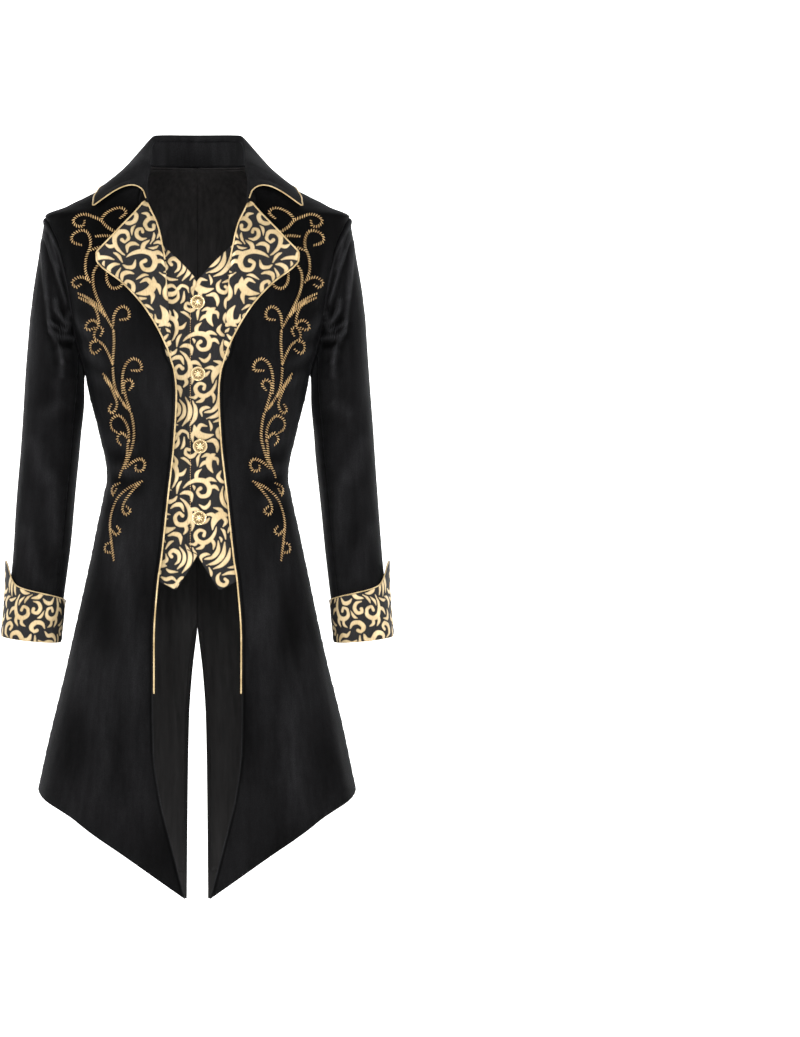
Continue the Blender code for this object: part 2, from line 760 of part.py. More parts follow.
VEST_OVER = -(VELVET_WALL + LAYER_GAP)
VEST_UNDER = VEST_OVER - BROCADE_WALL - LAYER_GAP
for side, hand in ((1, "left"), (-1, "right")):
    build_body(side, hand)
    build_lining(side, hand)
    build_lapel(side, hand)
    build_front_piping(side, hand)
    build_sleeve(side, hand)
    build_cuff(side, hand)
build_vest(1, "left", -VEST_OVERLAP, VEST_OVER)
build_vest(-1, "right", -VEST_OVERLAP / 2, VEST_UNDER)
build_stand()
build_fall()
build_buttons(VEST_OVER + BUTTON_SEAT)
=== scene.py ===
"""A costume tailcoat in black velvet with gold brocade, filled out as it is worn.

The script follows the coat as it is put together: body, lining, waistcoat front, lapels, sleeves,
cuffs, collar, embroidery, topstitching and buttons, and then the studio around it. Lengths are in
millimetres until a mesh is made.
"""

from math import cos, pi, radians, sin

import bpy
import numpy as np
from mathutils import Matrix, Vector


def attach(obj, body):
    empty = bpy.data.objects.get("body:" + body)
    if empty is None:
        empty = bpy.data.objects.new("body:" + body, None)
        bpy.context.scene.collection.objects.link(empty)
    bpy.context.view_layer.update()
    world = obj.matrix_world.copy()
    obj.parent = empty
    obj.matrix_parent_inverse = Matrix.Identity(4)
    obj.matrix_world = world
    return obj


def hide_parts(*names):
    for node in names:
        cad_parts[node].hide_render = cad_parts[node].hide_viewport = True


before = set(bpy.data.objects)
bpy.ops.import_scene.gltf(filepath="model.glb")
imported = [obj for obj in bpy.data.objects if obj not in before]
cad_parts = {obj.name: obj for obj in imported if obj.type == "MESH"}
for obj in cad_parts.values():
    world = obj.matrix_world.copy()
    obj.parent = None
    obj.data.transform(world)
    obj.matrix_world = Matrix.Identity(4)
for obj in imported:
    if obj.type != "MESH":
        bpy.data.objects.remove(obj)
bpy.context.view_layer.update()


# Body: two fronts, two side backs and two backs of black velvet, shaped at the waist and flared below
# it. They are sewn right sides together, so each seam is a thin sunk line with small puckers beside it,
# and every free edge is turned in and pressed. The form is given by level sections, from the neck down.
MM = 0.001
SIDES = ((1, "left"), (-1, "right"))
ROUNDNESS = 2.2
FORM = (
    # height, half width, depth in front, depth behind, depth of the skirt's flutes
    (0, 69, 58, 62, 0),
    (-20, 109, 66, 76, 0),
    (-40, 149, 78, 88, 0),
    (-60, 189, 90, 97, 0),
    (-75, 221, 97, 102, 0),
    (-110, 221, 108, 111, 0),
    (-150, 213, 117, 116, 0),
    (-190, 203, 122, 117, 0),
    (-240, 186, 124, 113, 0),
    (-270, 175, 123, 109, 0),
    (-297, 165, 120, 105, 0),
    (-333, 157.5, 115, 99, 0),
    (-384, 144, 105, 89, 0),
    (-451, 132, 97, 82, 0),
    (-486, 138, 99, 87, 0.5),
    (-520, 145, 102, 93, 1),
    (-631, 167.5, 111, 108, 3),
    (-776, 201, 123, 124, 5),
    (-905, 231, 134, 138, 7),
    (-1067, 268, 147, 152, 9),
)
FLUTES_AROUND = 11
FLUTE_BASE = 200.0
NORMAL_TURN = 1.5
NORMAL_DROP = 2.0
SIDE_SEAM = 90.0
NECK_TOP = -0.5
SEAM_TOP = -3.0
SHOULDER_POINT = -75.0
ARMPIT = -297.0
VENT_TOP = -676.0
SIDE_CORNER = -905.0
PRINCESS_FOOT = -971.5
FRONT_TIP = -1060.0
BACK_TIP = -1067.0
VELVET_WALL = 1.6
SEAM_DEPTH = 1.0
SEAM_WIDTH = 2.0
PUCKER_DEPTH = 0.35
PUCKER_REACH = 9.0
# Painted light on the pile: seams, hollows and the upper chest are painted in shade, ridges and slopes that
# face up are painted paler
SEAM_SHADE = 0.4
RIDGE_HEIGHT = 3.2
HOLLOW_DEPTH = 1.5
SLOPE_LIGHT = 0.7
LIGHT_CONTRAST = 3.2
LIGHT_RANGE = (-1.4, 1.0)
UPPER_SHADE = 2.1
UPPER_SHADE_AT = -130.0
UPPER_SHADE_REACH = 85.0
ROW_STEP = 5.5
SHOULDER_ROWS = 2.4
FRONT_COLUMNS = 56
SIDE_BACK_COLUMNS = 32
BACK_COLUMNS = 34
CROWDING = 0.72
SHOULDER_ROUND = 17.0
SHOULDER_CUT = 2.2
CREASE_PEAK = 1.7
CREASE_DIP = 0.7
CREASE_DIP_WIDTH = 2.1
# Puckers along a seam: length, and where the wave starts
PUCKERS = ((13.0, 0), (22.1, 1))
# Painted light at a pressed edge, a painted highlight on its fold and painted shade beside it: how pale, how
# far in, and how wide
PRESSED_EDGE_LIGHT = ((3.5, 0, 1.3), (-2.2, 3.38, 1.3))
# Waves of the worn velvet: height, length across, length down, and how far the sides differ
WORN_WAVES = ((0.3, 21, 67, 1), (0.3, 34, -41, 2), (0.3, 60, 29, 0))

# Edges that run down the coat: height, and distance from the centre line
FRONT_EDGE = (
    (0, 69), (-15, 73), (-29, 77), (-55, 83), (-87, 75), (-123, 63), (-160, 55), (-200, 49),
    (-255, 49), (-276, 46), (-285, 42), (-297, 35.5), (-333, 32), (-397, 35), (-481, 44), (-573, 54),
    (-606, 59), (-689, 64.5), (-766, 64.5), (-848, 63), (-913, 54.4), (-986, 37), (-1060, 17.5),
)
FRONT_ARMHOLE = (
    (-75, 221), (-79, 219.5), (-87, 215), (-102, 207.5), (-128, 198), (-190, 186), (-240, 180),
    (-275, 172), (-297, 165),
)
BACK_ARMHOLE = (
    (-75, 221), (-79, 219), (-87, 213), (-102, 202), (-128, 189), (-190, 177), (-240, 172),
    (-275, 168), (-297, 165),
)
PRINCESS_SEAM = (
    (-2, 72), (-25, 80), (-60, 77), (-136, 73), (-300, 79), (-451, 86), (-588, 104), (-650, 110),
    (-790, 129), (-862, 138), (-933, 143.5), (PRINCESS_FOOT, 146),
)
VENT_EDGE = ((-676, 0.5), (-740, 8), (-800, 12), (-900, 14), (-1067, 15.5))
FRONT_HEM = ((-905, 231), (-909, 230), (-917, 224), (-930, 205.4), (-1060, 19))
BACK_HEM = ((-905, 231), (-909, 230), (-917, 224), (-930, 206.1), (-1067, 17))

# Soft creases of the worn coat: from and to, as distance from the centre line and height, then the
# width of the crease and how far it stands out
FRONT_CREASES = (
    (196, -105, 168, -215, 11, 1.6),
    (184, -215, 148, -262, 9, 2.2),
    (172, -262, 128, -300, 8, 1.8),
    (160, -300, 122, -330, 9, 1.3),
    (140, -392, 84, -420, 12, 1.6),
    (134, -440, 70, -452, 10, 2.2),
    (136, -470, 84, -500, 12, 1.5),
    (120, -520, 96, -700, 20, 1.3),
    (158, -560, 176, -800, 22, 1.5),
    (86, -620, 98, -900, 22, 1.2),
    (128, -700, 146, -960, 22, 1.4),
    (206, -740, 222, -900, 18, 1.3),
)
BACK_CREASES = (
    (140, -250, 92, -162, 11, 3.0),
    (139, -186, 120, -148, 9, 2.2),
    (158, -270, 118, -215, 9, 2.2),
    (168, -225, 150, -170, 8, 1.6),
    (36, -40, 52, -130, 16, 1.2),
    (128, -420, 84, -446, 11, 2.0),
    (130, -462, 78, -476, 10, 2.2),
    (60, -440, 10, -452, 12, 1.6),
    (52, -505, 44, -650, 18, 1.8),
    (126, -560, 160, -860, 24, 1.8),
    (60, -640, 84, -960, 22, 1.6),
    (182, -720, 204, -890, 20, 1.6),
    (28, -720, 38, -1000, 16, 1.3),
)


def curve(table, value=1):
    """A smooth function through a column of a table, with no overshoot between its rows."""
    rows = sorted((row[0], row[value]) for row in table)
    keys = np.array([row[0] for row in rows], dtype=float)
    values = np.array([row[1] for row in rows], dtype=float)
    steps = np.diff(keys)
    rises = np.diff(values) / steps
    slopes = np.zeros(len(keys))
    slopes[0] = rises[0]
    slopes[-1] = rises[-1]
    for i in range(1, len(rises)):
        if rises[i - 1] * rises[i] > 0:
            slopes[i] = 2 / (1 / rises[i - 1] + 1 / rises[i])

    def at(place):
        held = np.clip(place, keys[0], keys[-1])
        i = np.clip(np.searchsorted(keys, held) - 1, 0, len(steps) - 1)
        share = (held - keys[i]) / steps[i]
        start = (1 + 2 * share) * (1 - share) ** 2 * values[i]
        start_slope = share * (1 - share) ** 2 * steps[i] * slopes[i]
        end = share * share * (3 - 2 * share) * values[i + 1]
        end_slope = share * share * (share - 1) * steps[i] * slopes[i + 1]
        return start + start_slope + end + end_slope

    return at


half_width, front_depth, back_depth, flute_depth = (curve(FORM, column) for column in (1, 2, 3, 4))


def signed_power(value, exponent):
    """A power that keeps its sign, so that a section's quarters join."""
    return np.sign(value) * np.abs(value) ** exponent


def unit(vectors):
    """Vectors of length one."""
    return vectors / np.maximum(np.linalg.norm(vectors, axis=-1, keepdims=True), 1e-9)


def ease(share):
    """A smooth step from 0 to 1."""
    held = np.clip(share, 0.0, 1.0)
    return held * held * (3 - 2 * held)


def bell(distance, width):
    """A smooth hump of height 1."""
    return np.exp(-((distance / width) ** 2))


def bells(table, place):
    """Humps added up; each row gives a height, a middle and a width."""
    return sum(height * bell(place - middle, width) for height, middle, width in table)


def wavy(table, x, z, start):
    """Waves added up; each row gives a height, two lengths, and how much the start moves it."""
    return sum(height * np.sin(x / across + z / down + moved * start)
               for height, across, down, moved in table)


def on_form(z, around):
    """Points of the form, around in degrees from the centre front over the wearer's left."""
    turn = np.radians(around)
    depth = np.where(np.cos(turn) > 0, front_depth(z), back_depth(z))
    wave = flute_depth(z) / FLUTE_BASE * np.cos(FLUTES_AROUND * turn) * np.sin(turn) ** 2
    x = half_width(z) * signed_power(np.sin(turn), 2 / ROUNDNESS) * (1 + wave * np.cos(turn) ** 2)
    y = -depth * signed_power(np.cos(turn), 2 / ROUNDNESS) * (1 + wave)
    return np.stack((x, y, z + 0 * x), axis=-1)


def body_at(z, around, out=0.0):
    """Points of the form moved out along its normal."""
    z, around = np.broadcast_arrays(np.asarray(z, dtype=float), np.asarray(around, dtype=float))
    across = on_form(z, around + NORMAL_TURN) - on_form(z, around - NORMAL_TURN)
    down = on_form(z - NORMAL_DROP, around) - on_form(z + NORMAL_DROP, around)
    return on_form(z, around) + unit(np.cross(down, across)) * np.asarray(out)[..., None]


def around_at(x, z, back=False):
    """Where on its level section the form is x from the centre line."""
    share = np.clip(np.abs(x) / half_width(z), 0, 1)
    turn = np.degrees(np.arcsin(share ** (ROUNDNESS / 2)))
    return 180 - turn if back else turn * np.where(np.asarray(x) < 0, -1, 1)


def creased(u, v, creases, fullness=1.0):
    """How far soft creases lift the cloth: each is a ridge between two shallow hollows."""
    lift = np.zeros(np.broadcast(u, v).shape)
    for u_from, v_from, u_to, v_to, width, height in creases:
        along_u = u_to - u_from
        along_v = v_to - v_from
        share = ((u - u_from) * along_u + (v - v_from) * along_v) / (along_u**2 + along_v**2)
        share = np.clip(share, 0, 1)
        distance = np.hypot(u - u_from - share * along_u, v - v_from - share * along_v)
        ridge = CREASE_PEAK * bell(distance, width) - CREASE_DIP * bell(distance, CREASE_DIP_WIDTH * width)
        lift = lift + height * np.minimum(1, fullness * 4 * share * (1 - share)) * ridge
    return lift


def worn(z, around, side):
    """How the worn velvet lies off its plain form: drag lines, and long shallow waves."""
    x = on_form(z, around)[..., 0]
    forward = np.cos(np.radians(around))
    lift = np.where(forward > 0, creased(x, z, FRONT_CREASES), creased(x, z, BACK_CREASES))
    shoulder = bell(z - SHOULDER_POINT, SHOULDER_ROUND) * np.abs(forward)
    return lift + wavy(WORN_WAVES, x, z, side) - SHOULDER_CUT * shoulder


def edge_curve(table, back=False):
    """Where an edge that is given by its distance from the centre line lies around the form."""
    x_at = curve(table)
    return lambda z: around_at(x_at(z), z, back)


front_edge = edge_curve(FRONT_EDGE)
front_armhole = edge_curve(FRONT_ARMHOLE)
back_armhole = edge_curve(BACK_ARMHOLE, back=True)
front_hem = edge_curve(FRONT_HEM)
back_hem = edge_curve(BACK_HEM, back=True)
princess = edge_curve(PRINCESS_SEAM, back=True)
vent_edge = edge_curve(VENT_EDGE, back=True)


def side_line(armhole, hem, within):
    """The side of a front or a side back: shoulder seam, armhole, side seam, then the hem."""

    def at(z):
        cut = np.where(z > ARMPIT, armhole(z), hem(z))
        return np.where(z >= SHOULDER_POINT, SIDE_SEAM, within(SIDE_SEAM, cut))

    return at


front_far = side_line(front_armhole, front_hem, np.minimum)
side_back_near = side_line(back_armhole, back_hem, np.maximum)


def back_near(z):
    """The back's near side: the princess seam, then the hem."""
    return np.where(z >= PRINCESS_FOOT, princess(z), back_hem(z))


def back_far(z):
    """The back's far side: the centre seam down to the vent, then the vent's edge."""
    return np.where(z > VENT_TOP, 180.0, vent_edge(z))


def rows_between(top, bottom, step=ROW_STEP):
    """Row heights from top to bottom, closer on the shoulders, that meet every corner of the cut."""
    corners = (SEAM_TOP, SHOULDER_POINT, ARMPIT, VENT_TOP, SIDE_CORNER, PRINCESS_FOOT, FRONT_TIP)
    stops = [top] + [z for z in corners if bottom < z < top] + [bottom]
    rows = [top]
    for high, low in zip(stops, stops[1:]):
        here = step / SHOULDER_ROWS if low >= SHOULDER_POINT else step
        count = max(1, round((high - low) / here))
        rows += [high + (low - high) * (i + 1) / count for i in range(count)]
    return np.array(rows)


def crowded(columns, crowding=CROWDING):
    """Shares from 0 to 1 that stand closer together at both ends."""
    share = np.linspace(0, 1, columns + 1)
    return share - crowding * np.sin(2 * pi * share) / (2 * pi)


def wired(tree, node, inputs):
    """Each named input of a node, set to a value or wired to an output."""
    for name, value in dict(inputs).items():
        if isinstance(value, bpy.types.NodeSocket):
            tree.links.new(value, node.inputs[name])
        else:
            node.inputs[name].default_value = value


def new_finish(name, roughness, metallic=0.0, shine=0.5):
    """A new material, with its node tree and its shader."""
    material = bpy.data.materials.new(name)
    material.use_nodes = True
    tree = material.node_tree
    shader = tree.nodes["Principled BSDF"]
    wired(tree, shader, {"Roughness": roughness, "Metallic": metallic, "Specular IOR Level": shine})
    return material, tree, shader


def add_node(tree, kind, inputs=(), **settings):
    """A node with its settings and its inputs."""
    node = tree.nodes.new(kind)
    for name, value in settings.items():
        setattr(node, name, value)
    wired(tree, node, inputs)
    return node


def own_place(tree, stretch=(1, 1, 1)):
    """The piece's own coordinates in metres, stretched."""
    spot = add_node(tree, "ShaderNodeTexCoord")
    inputs = {"Vector": spot.outputs["Object"], "Scale": stretch}
    return add_node(tree, "ShaderNodeMapping", inputs).outputs["Vector"]


def drawn(tree, label, output="Fac"):
    """A value that the mesh carries at its points."""
    return add_node(tree, "ShaderNodeAttribute", attribute_name=label).outputs[output]


def ranged(tree, value, low, high, to_low=0.0, to_high=1.0, smooth=False):
    """A value brought from one range to another."""
    inputs = {"Value": value, "From Min": low, "From Max": high, "To Min": to_low, "To Max": to_high}
    kind = "SMOOTHSTEP" if smooth else "LINEAR"
    return add_node(tree, "ShaderNodeMapRange", inputs, interpolation_type=kind).outputs["Result"]


def cloudy(tree, scale, detail, low, high, stretch=(1, 1, 1), rough=0.5, to_low=0.0, to_high=1.0):
    """Soft noise, brought from low and high to 0 and 1."""
    inputs = {"Vector": own_place(tree, stretch), "Scale": scale, "Detail": detail, "Roughness": rough}
    noise = add_node(tree, "ShaderNodeTexNoise", inputs).outputs["Fac"]
    return ranged(tree, noise, low, high, to_low, to_high)


def blended(tree, share, first, second, mode="MIX"):
    """A colour between two, by share."""
    first, second = ((*part, 1.0) if isinstance(part, tuple) else part for part in (first, second))
    inputs = {0: share, 6: first, 7: second}
    return add_node(tree, "ShaderNodeMix", inputs, data_type="RGBA", blend_type=mode).outputs[2]


def toned(tree, colour, share, dark, light):
    """A colour times a grey between two, by share."""
    grey = blended(tree, share, (dark, dark, dark), (light, light, light))
    return blended(tree, 1.0, colour, grey, "MULTIPLY")


def embossed(tree, shader, height, strength, distance_mm, under=None):
    """A bump from a height, over another bump if there is one."""
    inputs = {"Height": height, "Strength": strength, "Distance": distance_mm * MM}
    if under is not None:
        inputs["Normal"] = under
    normal = add_node(tree, "ShaderNodeBump", inputs).outputs["Normal"]
    wired(tree, shader, {"Normal": normal})
    return normal


def velvet_finish():
    """Black pile: near-black, with the cloudy marks that hands leave in the nap, a soft sheen, and the
    painted light and shade that each piece carries.
    """
    material, tree, shader = new_finish("black_velvet", 0.75, shine=0.035)
    brushed = cloudy(tree, 13, 5, 0.36, 0.68, (1, 1, 0.55), 0.62)
    strokes = cloudy(tree, 85, 4, 0.32, 0.68, (1, 1, 0.14), 0.65)
    pile = cloudy(tree, 1500, 2, 0.3, 0.7, (1, 1, 0.45))
    colour = blended(tree, brushed, (0.0048, 0.0048, 0.0051), (0.0067, 0.0067, 0.0072))
    # Painted light and shade: the piece's light values make ridges paler and hollows, seams and the upper
    # chest darker
    colour = blended(tree, 1.0, colour, drawn(tree, "light", "Color"), "MULTIPLY")
    colour = toned(tree, colour, strokes, 0.72, 1.28)
    wired(tree, shader, {
        "Base Color": toned(tree, colour, pile, 0.55, 1.25),
        "Roughness": ranged(tree, brushed, 0, 1, 0.85, 0.76),
        "Sheen Weight": 0.03,
        "Sheen Roughness": 0.38,
        "Sheen Tint": (0.72, 0.74, 0.8, 1.0),
    })
    nap = embossed(tree, shader, brushed, 0.35, 1.2)
    embossed(tree, shader, pile, 0.3, 0.25, nap)
    return material


def lining_finish():
    """Black satin with fine upright slubs, painted sheen and shade along long soft folds, painted shade
    darker towards the hem and painted light paler towards the neck.
    """
    material, tree, shader = new_finish("black_satin", 0.55, shine=0.15)
    slubs = cloudy(tree, 170, 3, 0.3, 0.7, (1, 1, 0.03), 0.6)
    folds = cloudy(tree, 24, 2, 0.3, 0.72, (1, 1, 0.08))
    height = add_node(tree, "ShaderNodeSeparateXYZ", {"Vector": own_place(tree)}).outputs["Z"]
    colour = blended(tree, slubs, (0.0085, 0.0079, 0.0079), (0.0165, 0.0152, 0.0152))
    # Painted light and shade: paler up at the neck, darker towards the hem
    colour = toned(tree, colour, ranged(tree, height, -0.6, -0.2), 0.55, 1.35)
    # Painted sheen and shade along the long soft folds, which are also bumped
    colour = toned(tree, colour, folds, 0.72, 1.25)
    wired(tree, shader, {"Base Color": colour, "Roughness": ranged(tree, slubs, 0, 1, 0.62, 0.5)})
    drape = embossed(tree, shader, folds, 0.5, 1.5)
    embossed(tree, shader, slubs, 0.35, 0.12, drape)
    return material


VELVET = velvet_finish()
LINING = lining_finish()


def new_mesh(name, points, faces, side, attributes=()):
    """A smooth mesh in metres, mirrored for the wearer's right."""
    mesh = bpy.data.meshes.new(name)
    mesh.from_pydata((points.reshape(-1, 3) * (side * MM, MM, MM)).tolist(), [], faces)
    for label, values in dict(attributes).items():
        mesh.attributes.new(label, "FLOAT", "POINT").data.foreach_set("value", values.reshape(-1))
    mesh.shade_smooth()
    return mesh


def grid_mesh(name, points, side, attributes=()):
    """A mesh from rows of points, its faces out where rows run down and columns run with the form."""
    rows, columns = points.shape[:2]
    index = np.arange(rows * columns).reshape(rows, columns)
    corners = (index[:-1, :-1], index[1:, :-1], index[1:, 1:], index[:-1, 1:])
    quads = np.stack(corners, axis=-1).reshape(-1, 4)
    spots = points.reshape(-1, 3)
    first = np.linalg.norm(spots[quads[:, 0]] - spots[quads[:, 2]], axis=1)
    second = np.linalg.norm(spots[quads[:, 1]] - spots[quads[:, 3]], axis=1)
    quads = np.where((first > second)[:, None], np.roll(quads, 1, axis=1), quads)
    if side < 0:
        quads = np.roll(quads[:, ::-1], 1, axis=1)
    return new_mesh(name, points, quads.tolist(), side, attributes)


def add_piece(name, mesh, finishes, node=None):
    """Puts a mesh on the coat, and hides the model's part for its node."""
    piece = bpy.data.objects.new(name, mesh)
    for finish in finishes:
        mesh.materials.append(finish)
    bpy.context.scene.collection.objects.link(piece)
    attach(piece, "root")
    if node:
        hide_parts(node)
    return piece


def run_along(points):
    """The distance along each row from its first point."""
    steps = np.linalg.norm(np.diff(points, axis=1), axis=2)
    return np.concatenate((np.zeros((len(points), 1)), np.cumsum(steps, axis=1)), axis=1)


def add_cloth(name, points, side, wall, finishes, node, attributes=()):
    """A sheet of cloth with its wall on the inner side; the length of its cut is worked out but not used."""
    piece = add_piece(name, grid_mesh(name, points, side, attributes), finishes, node)
    shell = piece.modifiers.new("wall", "SOLIDIFY")
    shell.thickness = wall * MM
    shell.offset = -1
    shell.material_offset = len(finishes) - 1
    length = run_along(points.swapaxes(0, 1)).max() * MM


def add_velvet(part, shape, side, hand):
    """A velvet piece of one half, its inner side in lining colour, carrying the painted light and shade on
    its pile.
    """
    points, light = shape
    add_cloth(part + "_velvet_" + hand, points, side, VELVET_WALL, [VELVET, LINING],
              part + "_" + hand, attributes={"light": light})


def seam_dip(distance, z, pucker=1.0):
    """How far a seam pulls the cloth in at some distance from it."""
    small_waves = sum(np.sin(2 * pi * z / length + start) for length, start in PUCKERS)
    pulled = PUCKER_DEPTH * small_waves * np.exp(-distance / PUCKER_REACH)
    return SEAM_DEPTH * bell(distance, SEAM_WIDTH) + pucker * pulled


def painted_pile_light(lift, z):
    """The painted light on the pile: ridges and slopes that face up are painted paler, hollows are painted
    in shade.
    """
    slope = np.gradient(lift, axis=0) / np.gradient(z + 0 * lift, axis=0)
    high = np.where(lift > 0, lift / RIDGE_HEIGHT, lift / HOLLOW_DEPTH)
    return LIGHT_CONTRAST ** np.clip(high - SLOPE_LIGHT * slope, *LIGHT_RANGE)


def body_points(top, foot, near, far, columns, side, puckers=(1, 1)):
    """The points of a cut piece of the body between two of its edges, and the painted light and shade on its
    pile.
    """
    z = rows_between(top, foot)[:, None]
    around = near(z) + (far(z) - near(z)) * crowded(columns)[None, :]
    run = run_along(body_at(z, around))
    lift = worn(z, around, side)
    shaded = lift - UPPER_SHADE * bell(z - UPPER_SHADE_AT, UPPER_SHADE_REACH)
    for distance, pucker in ((run, puckers[0]), (run[:, -1:] - run, puckers[1])):
        dip = seam_dip(distance, z, pucker)
        lift = lift - dip
        shaded = shaded - SEAM_SHADE * dip if pucker else shaded + bells(PRESSED_EDGE_LIGHT, distance)
    return body_at(z, around, lift), painted_pile_light(shaded, z)


def make_body(side, hand):
    """The three velvet pieces of one half of the body."""
    front = body_points(SEAM_TOP, FRONT_TIP, front_edge, front_far, FRONT_COLUMNS, side, (0, 1))
    add_velvet("front", front, side, hand)
    side_back = body_points(SEAM_TOP, PRINCESS_FOOT, side_back_near, princess, SIDE_BACK_COLUMNS, side)
    add_velvet("side_back", side_back, side, hand)
    back = body_points(NECK_TOP, BACK_TIP, back_near, back_far, BACK_COLUMNS, side)
    add_velvet("back", back, side, hand)


for side, hand in SIDES:
    make_body(side, hand)


# Lining: the back's satin lining, cut in one piece for each half and felled in just short of the hem.
# It shows inside the neck and between the fronts below the waistcoat, where it hangs in long ripples.
LINING_WALL = 1.0
LINING_INSET = 5.0
LINING_HEM_RISE = 14.0
LINING_OUT = -4.2
LINING_TOP = -2.0
LINING_FOOT = -1027.0
LINING_ROW_STEP = 10
# The last column is narrow, so that no shading crosses the centre seam
LINING_COLUMNS = np.append(np.linspace(0, 0.997, 49), 1)
# Ripples: height, length across, length down, and where they start; they fade out up to the neck
RIPPLES = ((0.9, 4.1, 210, 1), (0.63, 7.3, -160, 1))
NECK_RIPPLES = 0.3
RIPPLES_FULL_FROM = -20.0
RIPPLES_FULL_OVER = 200.0
RIPPLES_START_OVER = 25.0
VENT_AROUND = 170.0


def inset_by(length, z, around):
    """The angle that a length along the level section takes."""
    step = np.linalg.norm(on_form(z, around + 0.5) - on_form(z, around - 0.5), axis=-1)
    return length / np.maximum(step, 0.05)


def lining_near(z):
    """The lining's edge along the side seam and above the hem."""
    edge = np.where(z > SIDE_CORNER, side_back_near(z), back_hem(z - LINING_HEM_RISE))
    return edge + inset_by(LINING_INSET, z, edge)


def lining_far(z):
    """The lining's edge at the centre seam and along the vent."""
    return np.where(z > VENT_TOP, 180.0, vent_edge(z) - inset_by(LINING_INSET, z, VENT_AROUND + 0 * z))


def make_lining(side, hand):
    """The lining of one half of the back."""
    z = rows_between(LINING_TOP, LINING_FOOT, LINING_ROW_STEP)[:, None]
    near, far = lining_near(z), lining_far(z)
    around = near + (far - near) * LINING_COLUMNS[None, :]
    full = NECK_RIPPLES + (1 - NECK_RIPPLES) * ease((RIPPLES_FULL_FROM - z) / RIPPLES_FULL_OVER)
    ripples = wavy(RIPPLES, side * on_form(z, around)[..., 0], z, 1)
    points = body_at(z, around, LINING_OUT + ripples * full * ease(-z / RIPPLES_START_OVER))
    add_cloth("lining_satin_" + hand, points, side, LINING_WALL, [LINING], "lining_back_" + hand)


for side, hand in SIDES:
    make_lining(side, hand)


# Waistcoat front: two brocade panels sewn under the coat's fronts, the wearer's left over the right,
# with a V neck and a pointed hem. The brocade is black with woven scrolls, flames and leaves in pale
# gold. Its figure is strewn over one tile of cloth, large motifs first, and the tile is repeated.
TILE_WIDTH = 156.0
TILE_HEIGHT = 204.0
CELL = 0.6
MOTIFS = (
    # how many, then the strokes of the motif: middle line, and half width at each of its points
    (5, (
        (((0, -12), (4, -5), (4, 3), (-1, 10), (-9, 15)), (0.5, 3.8, 4.6, 3.2, 0.4)),
        (((4, -5), (11, -5), (17, 2)), (2.4, 2.4, 0.4)),
        (((3, 4), (10, 8), (13, 17)), (2.2, 2.4, 0.4)),
        (((2, -4), (-6, -6), (-11, 1)), (2.2, 2.2, 0.4)),
    )),
    (8, (
        (((-22, -17), (-13, -15), (-3, -9), (3, 1), (0, 11), (-9, 15), (-16, 9), (-14, 1), (-8, 2)),
         (0.4, 1.8, 2.6, 3.1, 3.0, 2.7, 2.2, 1.7, 2.3)),
        (((3, 1), (10, 5), (13, 14)), (2.2, 2.4, 0.4)),
        (((0, 11), (6, 16), (5, 24)), (2.0, 2.2, 0.4)),
        (((-3, -9), (4, -14), (13, -13)), (2.0, 2.3, 0.4)),
    )),
    (7, (
        (((0, 0), (4, 8), (1, 17), (-5, 25), (-5, 35)), (0.6, 2.8, 3.3, 2.6, 0.4)),
        (((3, 1), (12, 6), (14, 15), (9, 23), (12, 32)), (0.6, 2.2, 2.7, 2.2, 0.4)),
        (((0, 2), (-8, 6), (-10, 15), (-17, 21)), (0.6, 2.1, 2.4, 0.4)),
        (((0, 0), (-2, -7), (4, -13), (12, -12)), (2.2, 1.9, 1.7, 0.4)),
    )),
    (6, (
        (((-15, -11), (-7, -3), (-5, 8), (-11, 19)), (0.4, 2.2, 2.5, 0.4)),
        (((-8, -16), (1, -5), (3, 8), (-3, 22)), (0.4, 2.4, 2.7, 0.4)),
        (((2, -15), (9, -5), (11, 7), (7, 19)), (0.4, 2.2, 2.5, 0.4)),
    )),
    (9, (
        (((-12, 3), (-11, -2), (-16, -4), (-20, 1), (-16, 8), (-7, 8), (0, 0), (7, -8), (16, -8),
          (20, 0), (15, 5), (11, 1)),
         (1.9, 1.5, 1.8, 2.3, 2.7, 2.9, 3.2, 2.9, 2.7, 2.3, 1.7, 1.9)),
        (((-3, 5), (3, 11), (11, 11)), (2.0, 2.2, 0.4)),
    )),
    (9, (
        (((-25, 0), (-14, 7), (-4, 4), (5, -5), (15, -6), (25, 3)), (0.4, 2.3, 3.0, 2.8, 2.3, 0.4)),
    )),
    (16, (
        (((-8, -10), (0, -9), (5, -2), (2, 6), (-5, 6), (-5, 1)), (0.4, 2.1, 2.7, 2.4, 1.8, 2.0)),
    )),
    (30, ((((0, -9), (5, -4), (6, 4), (-2, 9)), (0.5, 2.1, 2.5, 0.4)),)),
    (26, ((((0, -8), (2, -2), (0, 8)), (0.4, 1.8, 0.4)),)),
    (3, ((((0, -3), (1, 0), (0, 3)), (0.8, 1.4, 0.4)),)),
)
FIGURE_SEED = 11
TRIES = 90
MOTIF_SIZES = (0.9, 1.2)
MOTIF_GAP = 2.1
MOTIF_CLOSENESS = 0.6
MOTIF_GROWTH = 0.45
MOTIF_REACH = 16.0
DISC_STEP = 0.9
FAR_OUTSIDE = -99.0
FIGURE_RANGE = (-3, 5)
BROCADE_SCALE = 0.97
BROCADE_WALL = 1.6
BROCADE_RELIEF = 0.35
BROCADE_SLOPE = 0.8
VEST_OVER = -2.9
VEST_UNDER = -5.8
VEST_OVERLAP = 15.0
VEST_CORNER_ROUND = 26.0
VEST_V_BOTTOM = -171.0
VEST_V_SLOPE = 0.98
VEST_NECK_TOP = -110.0
VEST_UNDER_FRONT = 13.0
